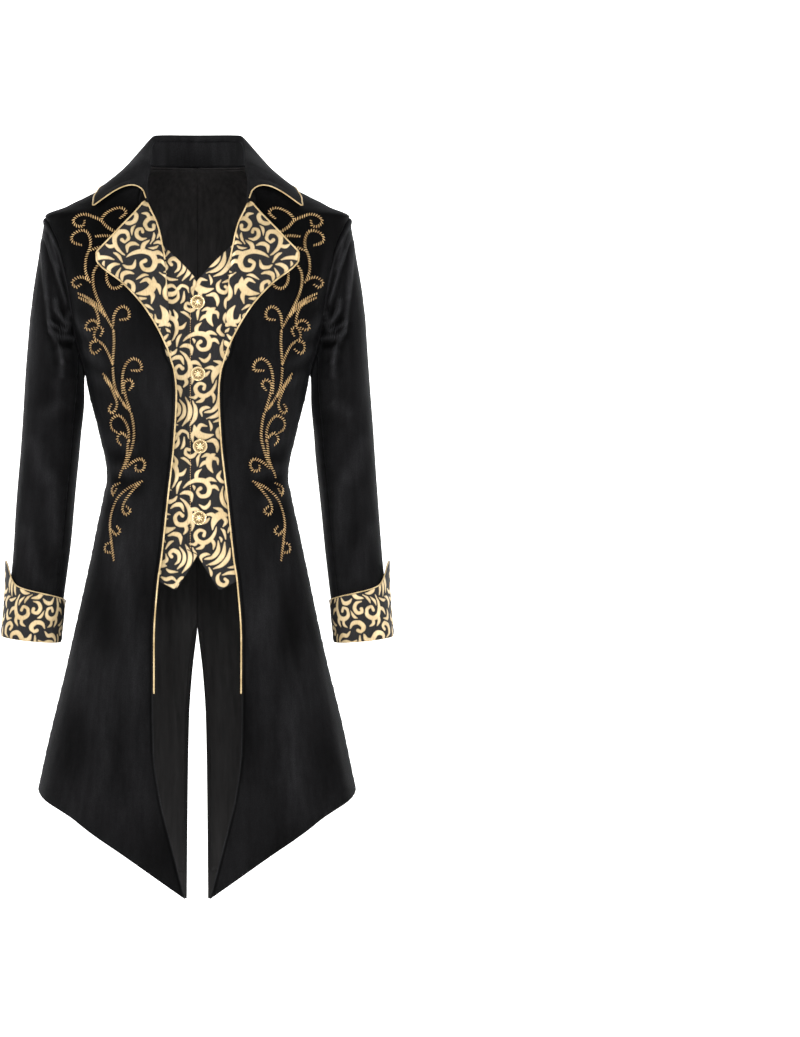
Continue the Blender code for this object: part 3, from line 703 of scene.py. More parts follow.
VEST_HEM = ((-15, -559), (0, -566), (30, -616), (34, -616), (59, -603), (72, -598))
VEST_HEM_SLANT = 0.75
VEST_BORDER = 0.8
VEST_PULLS = ((0.5, 30, 26, 1),)
VEST_PULLS_RISE = 3
VEST_ROLL = 0.9
VEST_ROLL_WIDTH = 1.6
VEST_COLUMNS = 80
VEST_ROWS = 270


def smooth_line(points, step):
    """Points a step apart on a smooth curve through the given ones."""
    points = np.array(points, dtype=float)
    ends = np.vstack((2 * points[0] - points[1], points, 2 * points[-1] - points[-2]))
    line = []
    for a, b, c, d in zip(ends, ends[1:], ends[2:], ends[3:]):
        count = max(2, round(float(np.linalg.norm((c - b)[:2])) / step))
        t = np.arange(count)[:, None] / count
        bend = 2 * a - 5 * b + 4 * c - d
        line.append(0.5 * (2 * b + (c - a) * t + bend * t**2 + (3 * b - a - 3 * c + d) * t**3))
    return np.vstack(line + [points[-1:]])


def strewn_figure():
    """How deep each cell of the tile lies in the gold figure; motifs keep a thin ground between them."""
    chance = np.random.default_rng(FIGURE_SEED)
    width, height = round(TILE_WIDTH / CELL), round(TILE_HEIGHT / CELL)
    nearest = np.full((height, width), FAR_OUTSIDE)
    next_near = np.full((height, width), FAR_OUTSIDE)
    for wanted, strokes in MOTIFS:
        stroke_discs = [[(*point, wide) for point, wide in zip(*stroke)] for stroke in strokes]
        discs = np.vstack([smooth_line(stroke, DISC_STEP) for stroke in stroke_discs])
        made = 0
        for _ in range(wanted * TRIES):
            if made == wanted:
                break
            turn = chance.uniform(-pi, pi)
            size = chance.uniform(*MOTIF_SIZES)
            flipped = discs[:, 0] * chance.choice((-1, 1)) * size
            upright = discs[:, 1] * size
            x = flipped * cos(turn) - upright * sin(turn) + chance.uniform(0, TILE_WIDTH)
            y = flipped * sin(turn) + upright * cos(turn) + chance.uniform(0, TILE_HEIGHT)
            radius = discs[:, 2] * size
            cell = ((y / CELL).astype(int) % height, (x / CELL).astype(int) % width)
            if (nearest[cell] + radius).max() > -MOTIF_CLOSENESS * MOTIF_GAP:
                continue
            made += 1
            left, right = int((x.min() - MOTIF_REACH) / CELL), int((x.max() + MOTIF_REACH) / CELL)
            low, high = int((y.min() - MOTIF_REACH) / CELL), int((y.max() + MOTIF_REACH) / CELL)
            v, u = np.mgrid[low:high, left:right]
            depth = np.full(u.shape, FAR_OUTSIDE)
            for disc_x, disc_y, disc_radius in zip(x, y, radius):
                depth = np.maximum(depth, disc_radius - np.hypot(u * CELL - disc_x, v * CELL - disc_y))
            spot = (v % height, u % width)
            next_near[spot] = np.maximum(next_near[spot], np.minimum(nearest[spot], depth))
            nearest[spot] = np.maximum(nearest[spot], depth)
    return np.minimum(nearest + MOTIF_GROWTH, (nearest - next_near - MOTIF_GAP) / 2)


FIGURE = strewn_figure()


def gold_at(u, v):
    """How deep points of the brocade lie inside the gold figure, in millimetres; below 0 is ground."""
    height, width = FIGURE.shape
    across, down = (u / CELL) % width, (v / CELL) % height
    column, row = across.astype(int) % width, down.astype(int) % height
    next_column, next_row = (column + 1) % width, (row + 1) % height
    right, low = across % 1, down % 1
    upper = FIGURE[row, column] * (1 - right) + FIGURE[row, next_column] * right
    lower = FIGURE[next_row, column] * (1 - right) + FIGURE[next_row, next_column] * right
    return np.clip(upper * (1 - low) + lower * low, *FIGURE_RANGE)


def brocade_finish():
    """Black ground with a figure of pale gold thread, which lies a little higher and shines more."""
    material, tree, shader = new_finish("gold_brocade", 0.5, shine=0.25)
    figure = drawn(tree, "gold")
    is_gold = ranged(tree, figure, -0.3, 0.3, smooth=True)
    inside = ranged(tree, figure, 0.2, 1.5, smooth=True)
    drift = cloudy(tree, 34, 3, 0.32, 0.68)
    threads = cloudy(tree, 1400, 2, 0.3, 0.7, (1, 1, 0.12))
    gold = blended(tree, drift, (0.48, 0.355, 0.185), (0.655, 0.51, 0.3))
    gold = toned(tree, toned(tree, gold, threads, 0.8, 1.1), inside, 0.72, 1.0)
    ground = blended(tree, threads, (0.0035, 0.0033, 0.0036), (0.012, 0.0112, 0.012))
    wired(tree, shader, {
        "Base Color": blended(tree, is_gold, ground, gold),
        "Roughness": ranged(tree, is_gold, 0, 1, 0.72, 0.4),
        "Metallic": ranged(tree, is_gold, 0, 1, 0.0, 0.22),
    })
    raised = embossed(tree, shader, is_gold, 0.4, 0.3)
    embossed(tree, shader, threads, 0.4, 0.15, raised)
    return material


BROCADE = brocade_finish()


def brocade_lift(gold):
    """How far the gold figure stands off its ground."""
    return BROCADE_RELIEF * ease(gold / BROCADE_SLOPE + 0.5)


def make_vest(side, hand, middle_x, out):
    """One brocade panel of the waistcoat front."""
    edge_x = curve(FRONT_EDGE)
    share = np.linspace(0, 1, VEST_COLUMNS + 1)[None, :]
    drop = np.linspace(0, 1, VEST_ROWS + 1)[:, None]
    neck_width = edge_x(VEST_NECK_TOP) + VEST_UNDER_FRONT
    neck_side = VEST_V_BOTTOM + VEST_V_SLOPE * neck_width * share
    hem_x = middle_x + (edge_x(VEST_HEM[-1][1]) + VEST_UNDER_FRONT - middle_x) * share
    hem = np.interp(hem_x, *zip(*VEST_HEM))
    z = neck_side + (hem - neck_side) * drop
    past = middle_x * ease((VEST_V_BOTTOM - z) / VEST_CORNER_ROUND)
    x = past + (edge_x(z) + VEST_UNDER_FRONT - past) * share
    gold = gold_at(side * x * BROCADE_SCALE, z * BROCADE_SCALE)
    gold = np.minimum(gold, VEST_HEM_SLANT * (z - hem) - VEST_BORDER)
    lift = out + brocade_lift(gold) + wavy(VEST_PULLS, x, z, side) * ease(share * VEST_PULLS_RISE)
    points = body_at(z, around_at(x, z), lift - VEST_ROLL * bell(x - past, VEST_ROLL_WIDTH))
    add_cloth("waistcoat_brocade_" + hand, points, side, BROCADE_WALL, [BROCADE, LINING],
              "vest_" + hand, attributes={"gold": gold})


make_vest(1, "left", -VEST_OVERLAP, VEST_OVER)
make_vest(-1, "right", -VEST_OVERLAP / 2, VEST_UNDER)


# Lapels: wide brocade lapels that lie on the fronts and turn in over the front's edge along the roll,
# with a covered gold cord round the free edge that runs on down the front's edge to below the hips.
LAPEL = (
    # share of the way down, roll's distance and height, free edge's distance and height
    (0.00, 73, -57, 75, -57.5),
    (0.12, 66, -72, 89, -73),
    (0.25, 59, -87, 106, -91),
    (0.38, 54, -105, 125, -111.5),
    (0.47, 51, -120, 139, -126),
    (0.50, 49.5, -127, 143.5, -132),
    (0.53, 48, -135, 143, -141),
    (0.57, 47, -144, 138, -148.5),
    (0.68, 44, -178, 106, -174),
    (0.80, 41, -216, 76, -207),
    (0.91, 39, -250, 55, -241),
    (1.00, 37, -276, 42, -268),
)
LAPEL_LIFT = 3.2
ROLL_LIFT = -0.6
ROLL_WIDTH = 7.0
ROLL_CORD_DROPS = np.linspace(0.02, 0.56, 60)
ROLL_CORD_LIFT = 0.3
LAPEL_COLUMNS = 88
LAPEL_ROWS = 184
LAPEL_CROWDING = 0.3
LAPEL_INSIDE = 0.7
FINE_STEPS = 400
LAPEL_WORN_RISE = 4
# The figure on the lapels is turned a little: cosine and sine of the turn, and how far it is moved
LAPEL_FIGURE = (0.93, 0.36, -22, 40)
CORD_RADIUS = 1.25
CORD_PITCH = 5.2
CORD_SIDES = 10
CORD_STEP = 1.3
CORD_TWIST = 0.16
CORD_SET_OFF = 1.5
CORD_LIFT = 1.6
CORD_START = -300.0
CORD_END = -766.0
CORD_SINKS_OVER = 40.0

roll_x, roll_z, free_x, free_z = (curve(LAPEL, column) for column in (1, 2, 3, 4))


def lapel_place(share, drop):
    """Distance and height of the lapel, share across from the roll to the free edge, and drop down it."""
    x = roll_x(drop) + (free_x(drop) - roll_x(drop)) * share
    z = roll_z(drop) + (free_z(drop) - roll_z(drop)) * share
    return x, z


def lapel_at(share, drop, side, extra=0.0):
    """Points of the lapel, lying over the front and turned in at the roll."""
    x, z = lapel_place(share, drop)
    width = np.hypot(free_x(drop) - roll_x(drop), free_z(drop) - roll_z(drop))
    lift = ROLL_LIFT + (LAPEL_LIFT - ROLL_LIFT) * ease(share * width / ROLL_WIDTH)
    around = around_at(x, z)
    return body_at(z, around, lift + extra + worn(z, around, side) * ease(share * LAPEL_WORN_RISE))


def cord_finish():
    """Gold thread, laid in close turns round the cord."""
    material, tree, shader = new_finish("gold_cord", 0.42, metallic=0.3)
    turns = cloudy(tree, 1600, 2, 0.3, 0.7)
    gold = blended(tree, cloudy(tree, 60, 2, 0.35, 0.65), (0.44, 0.31, 0.14), (0.68, 0.52, 0.28))
    colour = toned(tree, gold, turns, 0.72, 1.12)
    wired(tree, shader, {"Base Color": colour, "Roughness": ranged(tree, turns, 0, 1, 0.5, 0.34)})
    embossed(tree, shader, turns, 0.5, 0.12)
    return material


CORD = cord_finish()


def run_of(line):
    """The distance along a line of points from its first."""
    return run_along(line[None])[0]


def picked(values, run, wanted):
    """Values that are known along a line, at other distances along it."""
    return np.stack([np.interp(wanted, run, column) for column in values.T], axis=1)


def evenly(points, step):
    """Points an even step apart along a line of points."""
    run = run_of(points)
    count = max(2, round(float(run[-1]) / step) + 1)
    return picked(points, run, np.linspace(0, run[-1], count))


def twisted_tube(points, radius):
    """The rings of a two-ply cord along a line of points."""
    tangents = unit(np.gradient(points, axis=0))
    sideways = [unit(np.cross(tangents[0], (0.3, 0.2, 1.0)))]
    for tangent in tangents[1:]:
        last = sideways[-1]
        sideways.append(unit(last - tangent * np.dot(last, tangent)))
    sideways = np.array(sideways)
    up = np.cross(tangents, sideways)
    turn = np.linspace(0, 2 * pi, CORD_SIDES, endpoint=False)[None, :]
    ply = np.abs(np.cos(turn - pi * run_of(points)[:, None] / CORD_PITCH))
    ring = radius * (1 - CORD_TWIST + CORD_TWIST * ply)
    along_sideways = sideways[:, None] * (ring * np.cos(turn))[..., None]
    return points[:, None] + along_sideways + up[:, None] * (ring * np.sin(turn))[..., None]


def tube_mesh(name, rings, side):
    """A closed mesh from rings of points, with a cap at each end."""
    count, sides = rings.shape[:2]
    index = np.arange(count * sides).reshape(count, sides)
    turned = np.roll(index, -1, axis=1)
    corners = (index[:-1], turned[:-1], turned[1:], index[1:])
    quads = np.stack(corners, axis=-1).reshape(-1, 4)
    faces = quads.tolist() + [index[0, ::-1].tolist(), index[-1].tolist()]
    if side < 0:
        faces = [face[::-1] for face in faces]
    return new_mesh(name, rings, faces, side)


def add_cord(name, line, side, node=None, radius=CORD_RADIUS):
    """A covered cord along a line."""
    rings = twisted_tube(evenly(line, CORD_STEP), radius)
    add_piece(name, tube_mesh(name, rings, side), [CORD], node)


def beside(line, inner, distance):
    """A line beside an edge, away from a line further into the cloth."""
    tangents = unit(np.gradient(line, axis=0))
    away = line - inner
    away = unit(away - tangents * (away * tangents).sum(axis=1, keepdims=True))
    return line + away * distance


def make_lapel(side, hand):
    """One lapel, and the cord round it and down the front's edge."""
    share = crowded(LAPEL_COLUMNS, LAPEL_CROWDING)[None, :]
    fine = np.linspace(0, 1, FINE_STEPS)
    edge_run = np.cumsum(np.hypot(np.gradient(free_x(fine)), np.gradient(free_z(fine))))
    edge_run = (edge_run - edge_run[0]) / (edge_run[-1] - edge_run[0])
    drop = np.interp(np.linspace(0, 1, LAPEL_ROWS + 1), edge_run, fine)[:, None]
    x, z = lapel_place(share, drop)
    level, tilt, move_x, move_z = LAPEL_FIGURE
    gold = gold_at((x * level - z * tilt + move_x) * BROCADE_SCALE,
                   (z * level + x * tilt + move_z) * BROCADE_SCALE)
    points = lapel_at(share, drop, side, brocade_lift(gold))
    add_cloth("lapel_brocade_" + hand, points, side, BROCADE_WALL, [BROCADE], "lapel_" + hand,
              attributes={"gold": gold})
    add_cord("roll_cord_" + hand, lapel_at(0.0, ROLL_CORD_DROPS, side, ROLL_CORD_LIFT), side)
    down = np.linspace(0, 1, 160)
    edge, inside = (lapel_at(across, down, side) for across in (1.0, LAPEL_INSIDE))
    z = np.linspace(CORD_START, CORD_END, 90)
    around = front_edge(z) - inset_by(CORD_SET_OFF, z, front_edge(z))
    sunk = ease((CORD_START - z) / CORD_SINKS_OVER)
    lift = CORD_LIFT - (VELVET_WALL / 2 + CORD_LIFT) * sunk + worn(z, around, side)
    line = np.vstack((beside(edge, inside, CORD_SET_OFF), body_at(z, around, lift)))
    add_cord("front_cord_" + hand, line, side, "front_piping_" + hand)


for side, hand in SIDES:
    make_lapel(side, hand)


# Sleeves: two-piece velvet sleeves, a top sleeve outside and an under sleeve towards the body, eased
# into the armhole. They hang straight, and break into folds below the armpit and a little at the elbow.
SLEEVE_OUTER = (
    # height and distance of the sleeve's outer line, seen from the front
    (-75, 221), (-95, 225), (-138, 231.5), (-196, 240), (-272, 246.5), (-341, 251.6), (-457, 260.3),
    (-573, 267.5), (-632, 275), (-679, 281.5),
)
SLEEVE_INNER = (
    (-297, 168), (-312, 166.5), (-345, 165), (-392, 168.8), (-424, 171.2), (-461, 174.8), (-503, 179),
    (-548, 183.6), (-594, 189.3), (-640, 194.8), (-687, 199.5),
)
SLEEVE = (
    # station, height of the outer point, of the inner point, half depth, middle, share of the armhole
    (0, -75, -297, 50, 4, 1.0),
    (1, -95, -312, 57, 4, 0.62),
    (2, -125, -328, 62, 5, 0.32),
    (3, -165, -345, 65, 6, 0.12),
    (4, -215, -366, 65, 7, 0),
    (5, -272, -392, 63, 8, 0),
    (6, -335, -424, 61, 7, 0),
    (7, -402, -461, 58, 4, 0),
    (8, -468, -503, 56, -1, 0),
    (9, -530, -548, 54, -8, 0),
    (10, -585, -594, 52, -15, 0),
    (11, -632, -640, 50, -21, 0),
    (12, -679, -687, 49, -26, 0),
)
SLEEVE_END = 12
FORE_SEAM = 135.0
HIND_SEAM = 268.0
SLEEVE_ROWS = 176
TOP_COLUMNS = 80
UNDER_COLUMNS = 40
SLEEVE_CROWDING = 0.6
FOLD_FULLNESS = 2.4
SLEEVE_FRONT_FOLDS = (
    # from and to, as distance from the centre line and height, then width and how far it stands out
    (226, -104, 217, -200, 3.6, 2.2),
    (218, -190, 213, -240, 3.6, 2.0),
    (222, -100, 206, -150, 3.2, 2.6),
    (208, -142, 189, -210, 3.2, 2.8),
    (213, -104, 199, -160, 3.0, 2.0),
    (206, -196, 203, -218, 5.5, 2.2),
    (204, -212, 191, -236, 4.2, 3.2),
    (192, -237, 184, -214, 4.0, 2.6),
    (211, -232, 197, -242, 4.0, 3.0),
    (201, -239, 189, -246, 4.0, 3.0),
    (192, -247, 183, -228, 4.0, 2.8),
    (215, -242, 199, -252, 4.0, 2.6),
    (203, -252, 178, -254, 4.0, 2.6),
    (213, -228, 211, -248, 4.0, 2.2),
    (213, -242, 198, -269, 4.0, 2.4),
    (200, -262, 195, -294, 4.5, 1.8),
    (195, -284, 196, -314, 5.0, 1.3),
    (206, -263, 180, -264, 5.5, -2.4),
    (210, -225, 197, -237, 5.0, -2.0),
    (236, -205, 243, -350, 9.0, 1.3),
    (190, -345, 224, -369, 11.0, 0.9),
    (242, -392, 217, -470, 12.0, 1.0),
    (212, -440, 205, -560, 11.0, 0.8),
    (250, -520, 232, -610, 12.0, 0.9),
)
SLEEVE_BACK_FOLDS = (
    (199, -224, 159, -262, 6, 4.2),
    (196, -247, 157, -281, 5, 4.8),
    (192, -273, 161, -296, 6, 3.4),
    (218, -212, 176, -237, 7, 2.8),
    (214, -120, 198, -190, 6, 1.9),
    (240, -355, 192, -337, 9, 2.6),
    (244, -392, 196, -404, 8, 3.0),
    (240, -425, 202, -416, 8, 2.6),
    (250, -499, 208, -523, 11, 2.0),
)
# At stations down the sleeve: how many more rows, how far the head is roped out, and how much painted shade
# lies on its seam, with a painted highlight below it
ROWS_CROWD = ((1.2, 0, 0.6), (1.0, 2.6, 1.8))
HEAD_ROPE = ((2.8, 0.3, 0.3), (-1.4, 0, 0.06))
HEAD_SHADE_AND_HIGHLIGHT = ((3.6, 0, 0.15), (-1.8, 0.42, 0.14))
HEAD_SEAT = -0.8
HEAD_TUCK = 2.5
HEAD_TUCK_OVER = 0.1
FOLDS_RISE = 2
# How strongly folds, seams and waves are painted on the pile, paler on ridges and in painted shade in
# hollows
FOLD_SHADE = 1.35
SLEEVE_WAVES = ((0.35, 23, 31, 1), (0.35, -31, 53, 0))
SLEEVE_SEAM = 0.5

sleeve_outer_x = curve(SLEEVE_OUTER)
sleeve_inner_x = curve(SLEEVE_INNER)
outer_height, inner_height, sleeve_half_depth, sleeve_middle, armhole_share = (
    curve(SLEEVE, column) for column in (1, 2, 3, 4, 5)
)


def sleeve_section(station, around):
    """A section of the sleeve, around in degrees from its outer point over the front."""
    station, around = np.broadcast_arrays(np.asarray(station, float), np.asarray(around, float))
    outer_z, inner_z, middle_y = outer_height(station), inner_height(station), sleeve_middle(station)
    outer = np.stack((sleeve_outer_x(outer_z), middle_y, outer_z), axis=-1)
    inner = np.stack((sleeve_inner_x(inner_z), middle_y, inner_z), axis=-1)
    turn = np.radians(around)
    outward = signed_power(np.cos(turn), 2 / ROUNDNESS)[..., None]
    forward = signed_power(np.sin(turn), 2 / ROUNDNESS) * sleeve_half_depth(station)
    points = (outer + inner) / 2 + (outer - inner) / 2 * outward
    points[..., 1] -= forward
    return points


def armhole_at(around):
    """The point of the armhole that a point of the sleeve's head is sewn to."""
    turn = np.radians(around)
    z = SHOULDER_POINT + (ARMPIT - SHOULDER_POINT) * (1 - signed_power(np.cos(turn), 2 / ROUNDNESS)) / 2
    edge = np.where(np.sin(turn) >= 0, front_armhole(z), back_armhole(z))
    return body_at(z, edge, HEAD_SEAT)


def sleeve_at(station, around, out=0.0):
    """Points of the sleeve, drawn towards the armhole near its head."""
    held = np.minimum(station, SLEEVE_END)
    pull = np.broadcast_to(armhole_share(held), np.broadcast(held, around).shape)[..., None]
    points = sleeve_section(held, around) + (armhole_at(around) - sleeve_section(0, around)) * pull
    across = sleeve_section(held, around + 2) - sleeve_section(held, around - 2)
    down = sleeve_section(held + 0.1, around) - sleeve_section(held - 0.1, around)
    away = unit(np.cross(across, down))
    away[..., 2] *= 1 - pull[..., 0]
    return points + away * np.asarray(out)[..., None]


def sleeve_piece(start, end, columns, side):
    """The points of a cut piece of the sleeve between its two seams, and the painted light and shade on its
    pile.
    """
    even = np.linspace(0, SLEEVE_END, FINE_STEPS)
    needed = np.cumsum(1 + bells(ROWS_CROWD, even))
    needed = needed - needed[0]
    station = np.interp(np.linspace(0, needed[-1], SLEEVE_ROWS + 1), needed, even)[:, None]
    around = start + (end - start) * crowded(columns, SLEEVE_CROWDING)[None, :]
    plain = sleeve_at(station, around)
    run = run_along(plain)
    x = plain[..., 0]
    z = plain[..., 2]
    front_folds = creased(x, z, SLEEVE_FRONT_FOLDS, FOLD_FULLNESS)
    folds = np.where(np.sin(np.radians(around)) > 0, front_folds, creased(x, z, SLEEVE_BACK_FOLDS))
    folds = folds * ease(station * FOLDS_RISE)
    seams = SLEEVE_SEAM * (seam_dip(run, z) + seam_dip(run[:, -1:] - run, z))
    waves = wavy(SLEEVE_WAVES, around, z, side)
    lift = folds - seams + waves * ease(station) + bells(HEAD_ROPE, station)
    points = sleeve_at(station, around, lift)
    points[..., 0] -= HEAD_TUCK * bell(station, HEAD_TUCK_OVER)
    shaded = FOLD_SHADE * (folds - seams - waves * (1 - ease(station))) - bells(HEAD_SHADE_AND_HIGHLIGHT, station)
    return points, painted_pile_light(shaded, z)


def make_sleeve(side, hand):
    """The top sleeve and the under sleeve."""
    top = sleeve_piece(FORE_SEAM, HIND_SEAM - 360, TOP_COLUMNS, side)
    add_velvet("top_sleeve", top, side, hand)
    under = sleeve_piece(HIND_SEAM, FORE_SEAM, UNDER_COLUMNS, side)
    add_velvet("under_sleeve", under, side, hand)


for side, hand in SIDES:
    make_sleeve(side, hand)


# Cuffs: turned-back brocade cuffs, open at the outer line, where the front corner rises to a point and
# stands off the sleeve. A covered cord edges the top, and gold stitches hold the black reverse.
CUFF = (
    # degrees round the arm from the outer line over the front, and height above the sleeve's end
    (-3, 103), (5, 103), (13, 98), (22, 88), (34, 77), (52, 68), (90, 62), (135, 58), (180, 54), (225, 49),
    (270, 49), (315, 53), (350, 58),
)
CUFF_START = -3.0
CUFF_END = 350.0
CUFF_WALL = 2.0
CUFF_LIFT = 3.3
CUFF_DROP = 4.0
CUFF_SAG = 4.5
CUFF_CORD_START = 9.0
CUFF_CORD_RADIUS = 0.85
CUFF_CORD_SET_OFF = 1.15
CUFF_INSIDE = 6.0
CUFF_FLARE = 8.0
CUFF_FLARE_WIDTH = 26.0
CUFF_FLARE_CURVE = 1.6
CUFF_TURN = 1.2
CUFF_TURN_SHARE = 0.04
# The tip of the raised corner is plain black, and the foot has a thin gold edge
TIP_HEIGHT = 86.0
TIP_FADE = 8.0
TIP_GROUND = 3
FOOT_EDGE_WIDTH = 1.1
FOOT_EDGE_GOLD = 3
FOOT_EDGE_GROUND = 2
STATION_LENGTH = 47.0
CUFF_COLUMNS = 190
CUFF_ROWS = 52
CUFF_CROWDING = 0.2
CUFF_ROUND = 0.87
CUFF_FIGURE = (10, 12)

cuff_height = curve(CUFF)


def cuff_at(around, height, extra=0.0):
    """Points of the cuff by degrees round the arm and height above the sleeve's end."""
    station = SLEEVE_END - height / STATION_LENGTH
    near_corner = bell(around - CUFF_START, CUFF_FLARE_WIDTH)
    flare = CUFF_FLARE * near_corner * np.maximum(0.0, height / CUFF[0][1]) ** CUFF_FLARE_CURVE
    points = sleeve_at(station, around, CUFF_LIFT + flare + extra)
    points[..., 2] -= np.maximum(0.0, station - SLEEVE_END) * STATION_LENGTH
    return points


def make_cuff(side, hand):
    """One cuff, with the cord along its top edge."""
    around = CUFF_END + (CUFF_START - CUFF_END) * crowded(CUFF_COLUMNS, CUFF_CROWDING)[None, :]
    drop = np.linspace(0, 1, CUFF_ROWS + 1)[:, None]
    top = cuff_height(around)
    foot = -CUFF_DROP - CUFF_SAG * np.maximum(np.sin(np.radians(around)), 0)
    height = top + (foot - top) * drop
    move_x, move_z = CUFF_FIGURE
    gold = gold_at((around * CUFF_ROUND + move_x) * BROCADE_SCALE, (move_z - height) * BROCADE_SCALE)
    gold = gold - TIP_GROUND * ease((height - TIP_HEIGHT) / TIP_FADE)
    gold = np.maximum(gold, FOOT_EDGE_GOLD * bell(height - foot, FOOT_EDGE_WIDTH) - FOOT_EDGE_GROUND)
    points = cuff_at(around, height, brocade_lift(gold) - CUFF_TURN * bell(drop - 1, CUFF_TURN_SHARE))
    add_cloth("cuff_brocade_" + hand, points, side, CUFF_WALL, [BROCADE, LINING], "cuff_" + hand,
              attributes={"gold": gold})
    turn = np.linspace(CUFF_CORD_START, CUFF_END, 150)
    edge, inside = (cuff_at(turn, cuff_height(turn) - below) for below in (0, CUFF_INSIDE))
    line = beside(edge, inside, CUFF_CORD_SET_OFF)
    add_cord("cuff_cord_" + hand, line, side, "cuff_piping_" + hand, CUFF_CORD_RADIUS)


for side, hand in SIDES:
    make_cuff(side, hand)


# Collar: a velvet stand sewn into the neck and a deep velvet fall that rolls over it and lies on the
# shoulders in two points. The same gold cord edges the fall all round.
NECK_SEAM = (
    # share from the centre back to the front, then across, forward or back, and up
    (0, 0, 60.5, 0.1), (0.2, 34.5, 54, 0.1), (0.38, 57.5, 35, 0.1), (0.5, 65.5, 16, 0.1),
    (0.62, 68, -3, 0.1), (0.74, 68.5, -35, -4.5),
)
FOLD = (
    (0, 0, 59, 42.5), (0.2, 34, 53, 42.5), (0.38, 61.5, 34, 41), (0.5, 67.5, 16, 32.5),
    (0.62, 69, -3, 19.5), (0.74, 70, -34, 1.3), (0.86, 74, -60, -25.5), (1.0, 72.5, -84, -58),
)
FALL_EDGE = (
    # share, height, degrees round the body, and lift off it
    (0, -6, 180, 7), (0.2, -10, 151.8, 7), (0.38, -20, 129, 6), (0.5, -26, 110, 5),
    (0.62, -31, 92, 4), (0.74, -41, 69, 4), (0.86, -54, 54.5, 4.5), (1.0, -68, 42.5, 5),
)
FOLD_RISE = 3.9
FALL_OUTWARD = 25.0
FALL_BULGE = 3.4
FALL_BULGE_HIGH = 0.55
FALL_END_ARCH = 21.0
FALL_END_ARCH_HIGH = 0.57
FALL_END_BULGE = 2.5
FALL_END_START = 0.74
FALL_ROW_CROWD = 1.3
FALL_RIPPLE = (0.5, 17)
STAND_WAVE = (0.4, 9)
ROLL_SLANT = 0.6
COLLAR_CORD_SET_OFF = 1.4
COLLAR_CORD_RADIUS = 1.0
STAND_COLUMNS = 60
STAND_ROWS = 12
FALL_COLUMNS = 120
FALL_ROWS = 26
FALL_CROWDING = 0.45
FALL_INSIDE = 0.95
# The collar's velvet is painted evenly paler than the plain pile, as painted light
COLLAR_LIGHT = 1.6
ROLL_POINTS = (
    # inward and up from the fold's line, over the roll
    (1.9, -6.0), (2.3, -1.0), (2.1, 1.6), (1.4, 3.2), (0.6, 3.9),
)

stand_foot = [curve(NECK_SEAM, column) for column in (1, 2, 3)]
fold_line = [curve(FOLD, column) for column in (1, 2, 3)]
fall_z, fall_around, fall_lift = (curve(FALL_EDGE, column) for column in (1, 2, 3))


def line_at(line, along):
    """Points of a line that is given by three curves."""
    return np.stack([part(along) for part in line], axis=-1)


def mirrored(points, along):
    """Points for the wearer's left, mirrored where along is below 0."""
    return points * np.stack((np.where(along < 0, -1.0, 1.0), 1 + 0 * along, 1 + 0 * along), axis=-1)


def fall_at(along, drop):
    """Points of the fall: share along from the centre back to either end, and drop to the free edge."""
    along, drop = np.broadcast_arrays(np.asarray(along, float), np.asarray(drop, float))
    station = np.abs(along)
    fold = line_at(fold_line, station) + (0, 0, FOLD_RISE)
    edge = body_at(fall_z(station), fall_around(station), fall_lift(station))
    straight = fold + (edge - fold) * drop[..., None]
    away = unit(np.stack((fold[..., 0], fold[..., 1], FALL_OUTWARD + 0 * station), axis=-1))
    rounded = straight + away * (FALL_BULGE * np.sin(pi * drop**FALL_BULGE_HIGH))[..., None]
    front = ease((station - FALL_END_START) / (1 - FALL_END_START))
    z = straight[..., 2] + FALL_END_ARCH * front * np.sin(pi * drop**FALL_END_ARCH_HIGH)
    lift = fall_lift(station) + FALL_END_BULGE * np.sin(pi * drop)
    laid = body_at(z, around_at(straight[..., 0], z), lift)
    points = rounded + (laid - rounded) * front[..., None]
    return mirrored(points, along)


def over_the_fold(along, inward, up):
    """Points of the roll between the stand and the fall."""
    station = np.abs(along)
    fold = line_at(fold_line, station)
    towards = unit(np.stack((-fold[..., 0], -ROLL_SLANT * fold[..., 1], 0 * station), axis=-1))
    return mirrored(fold + towards * inward + (0, 0, up), along)


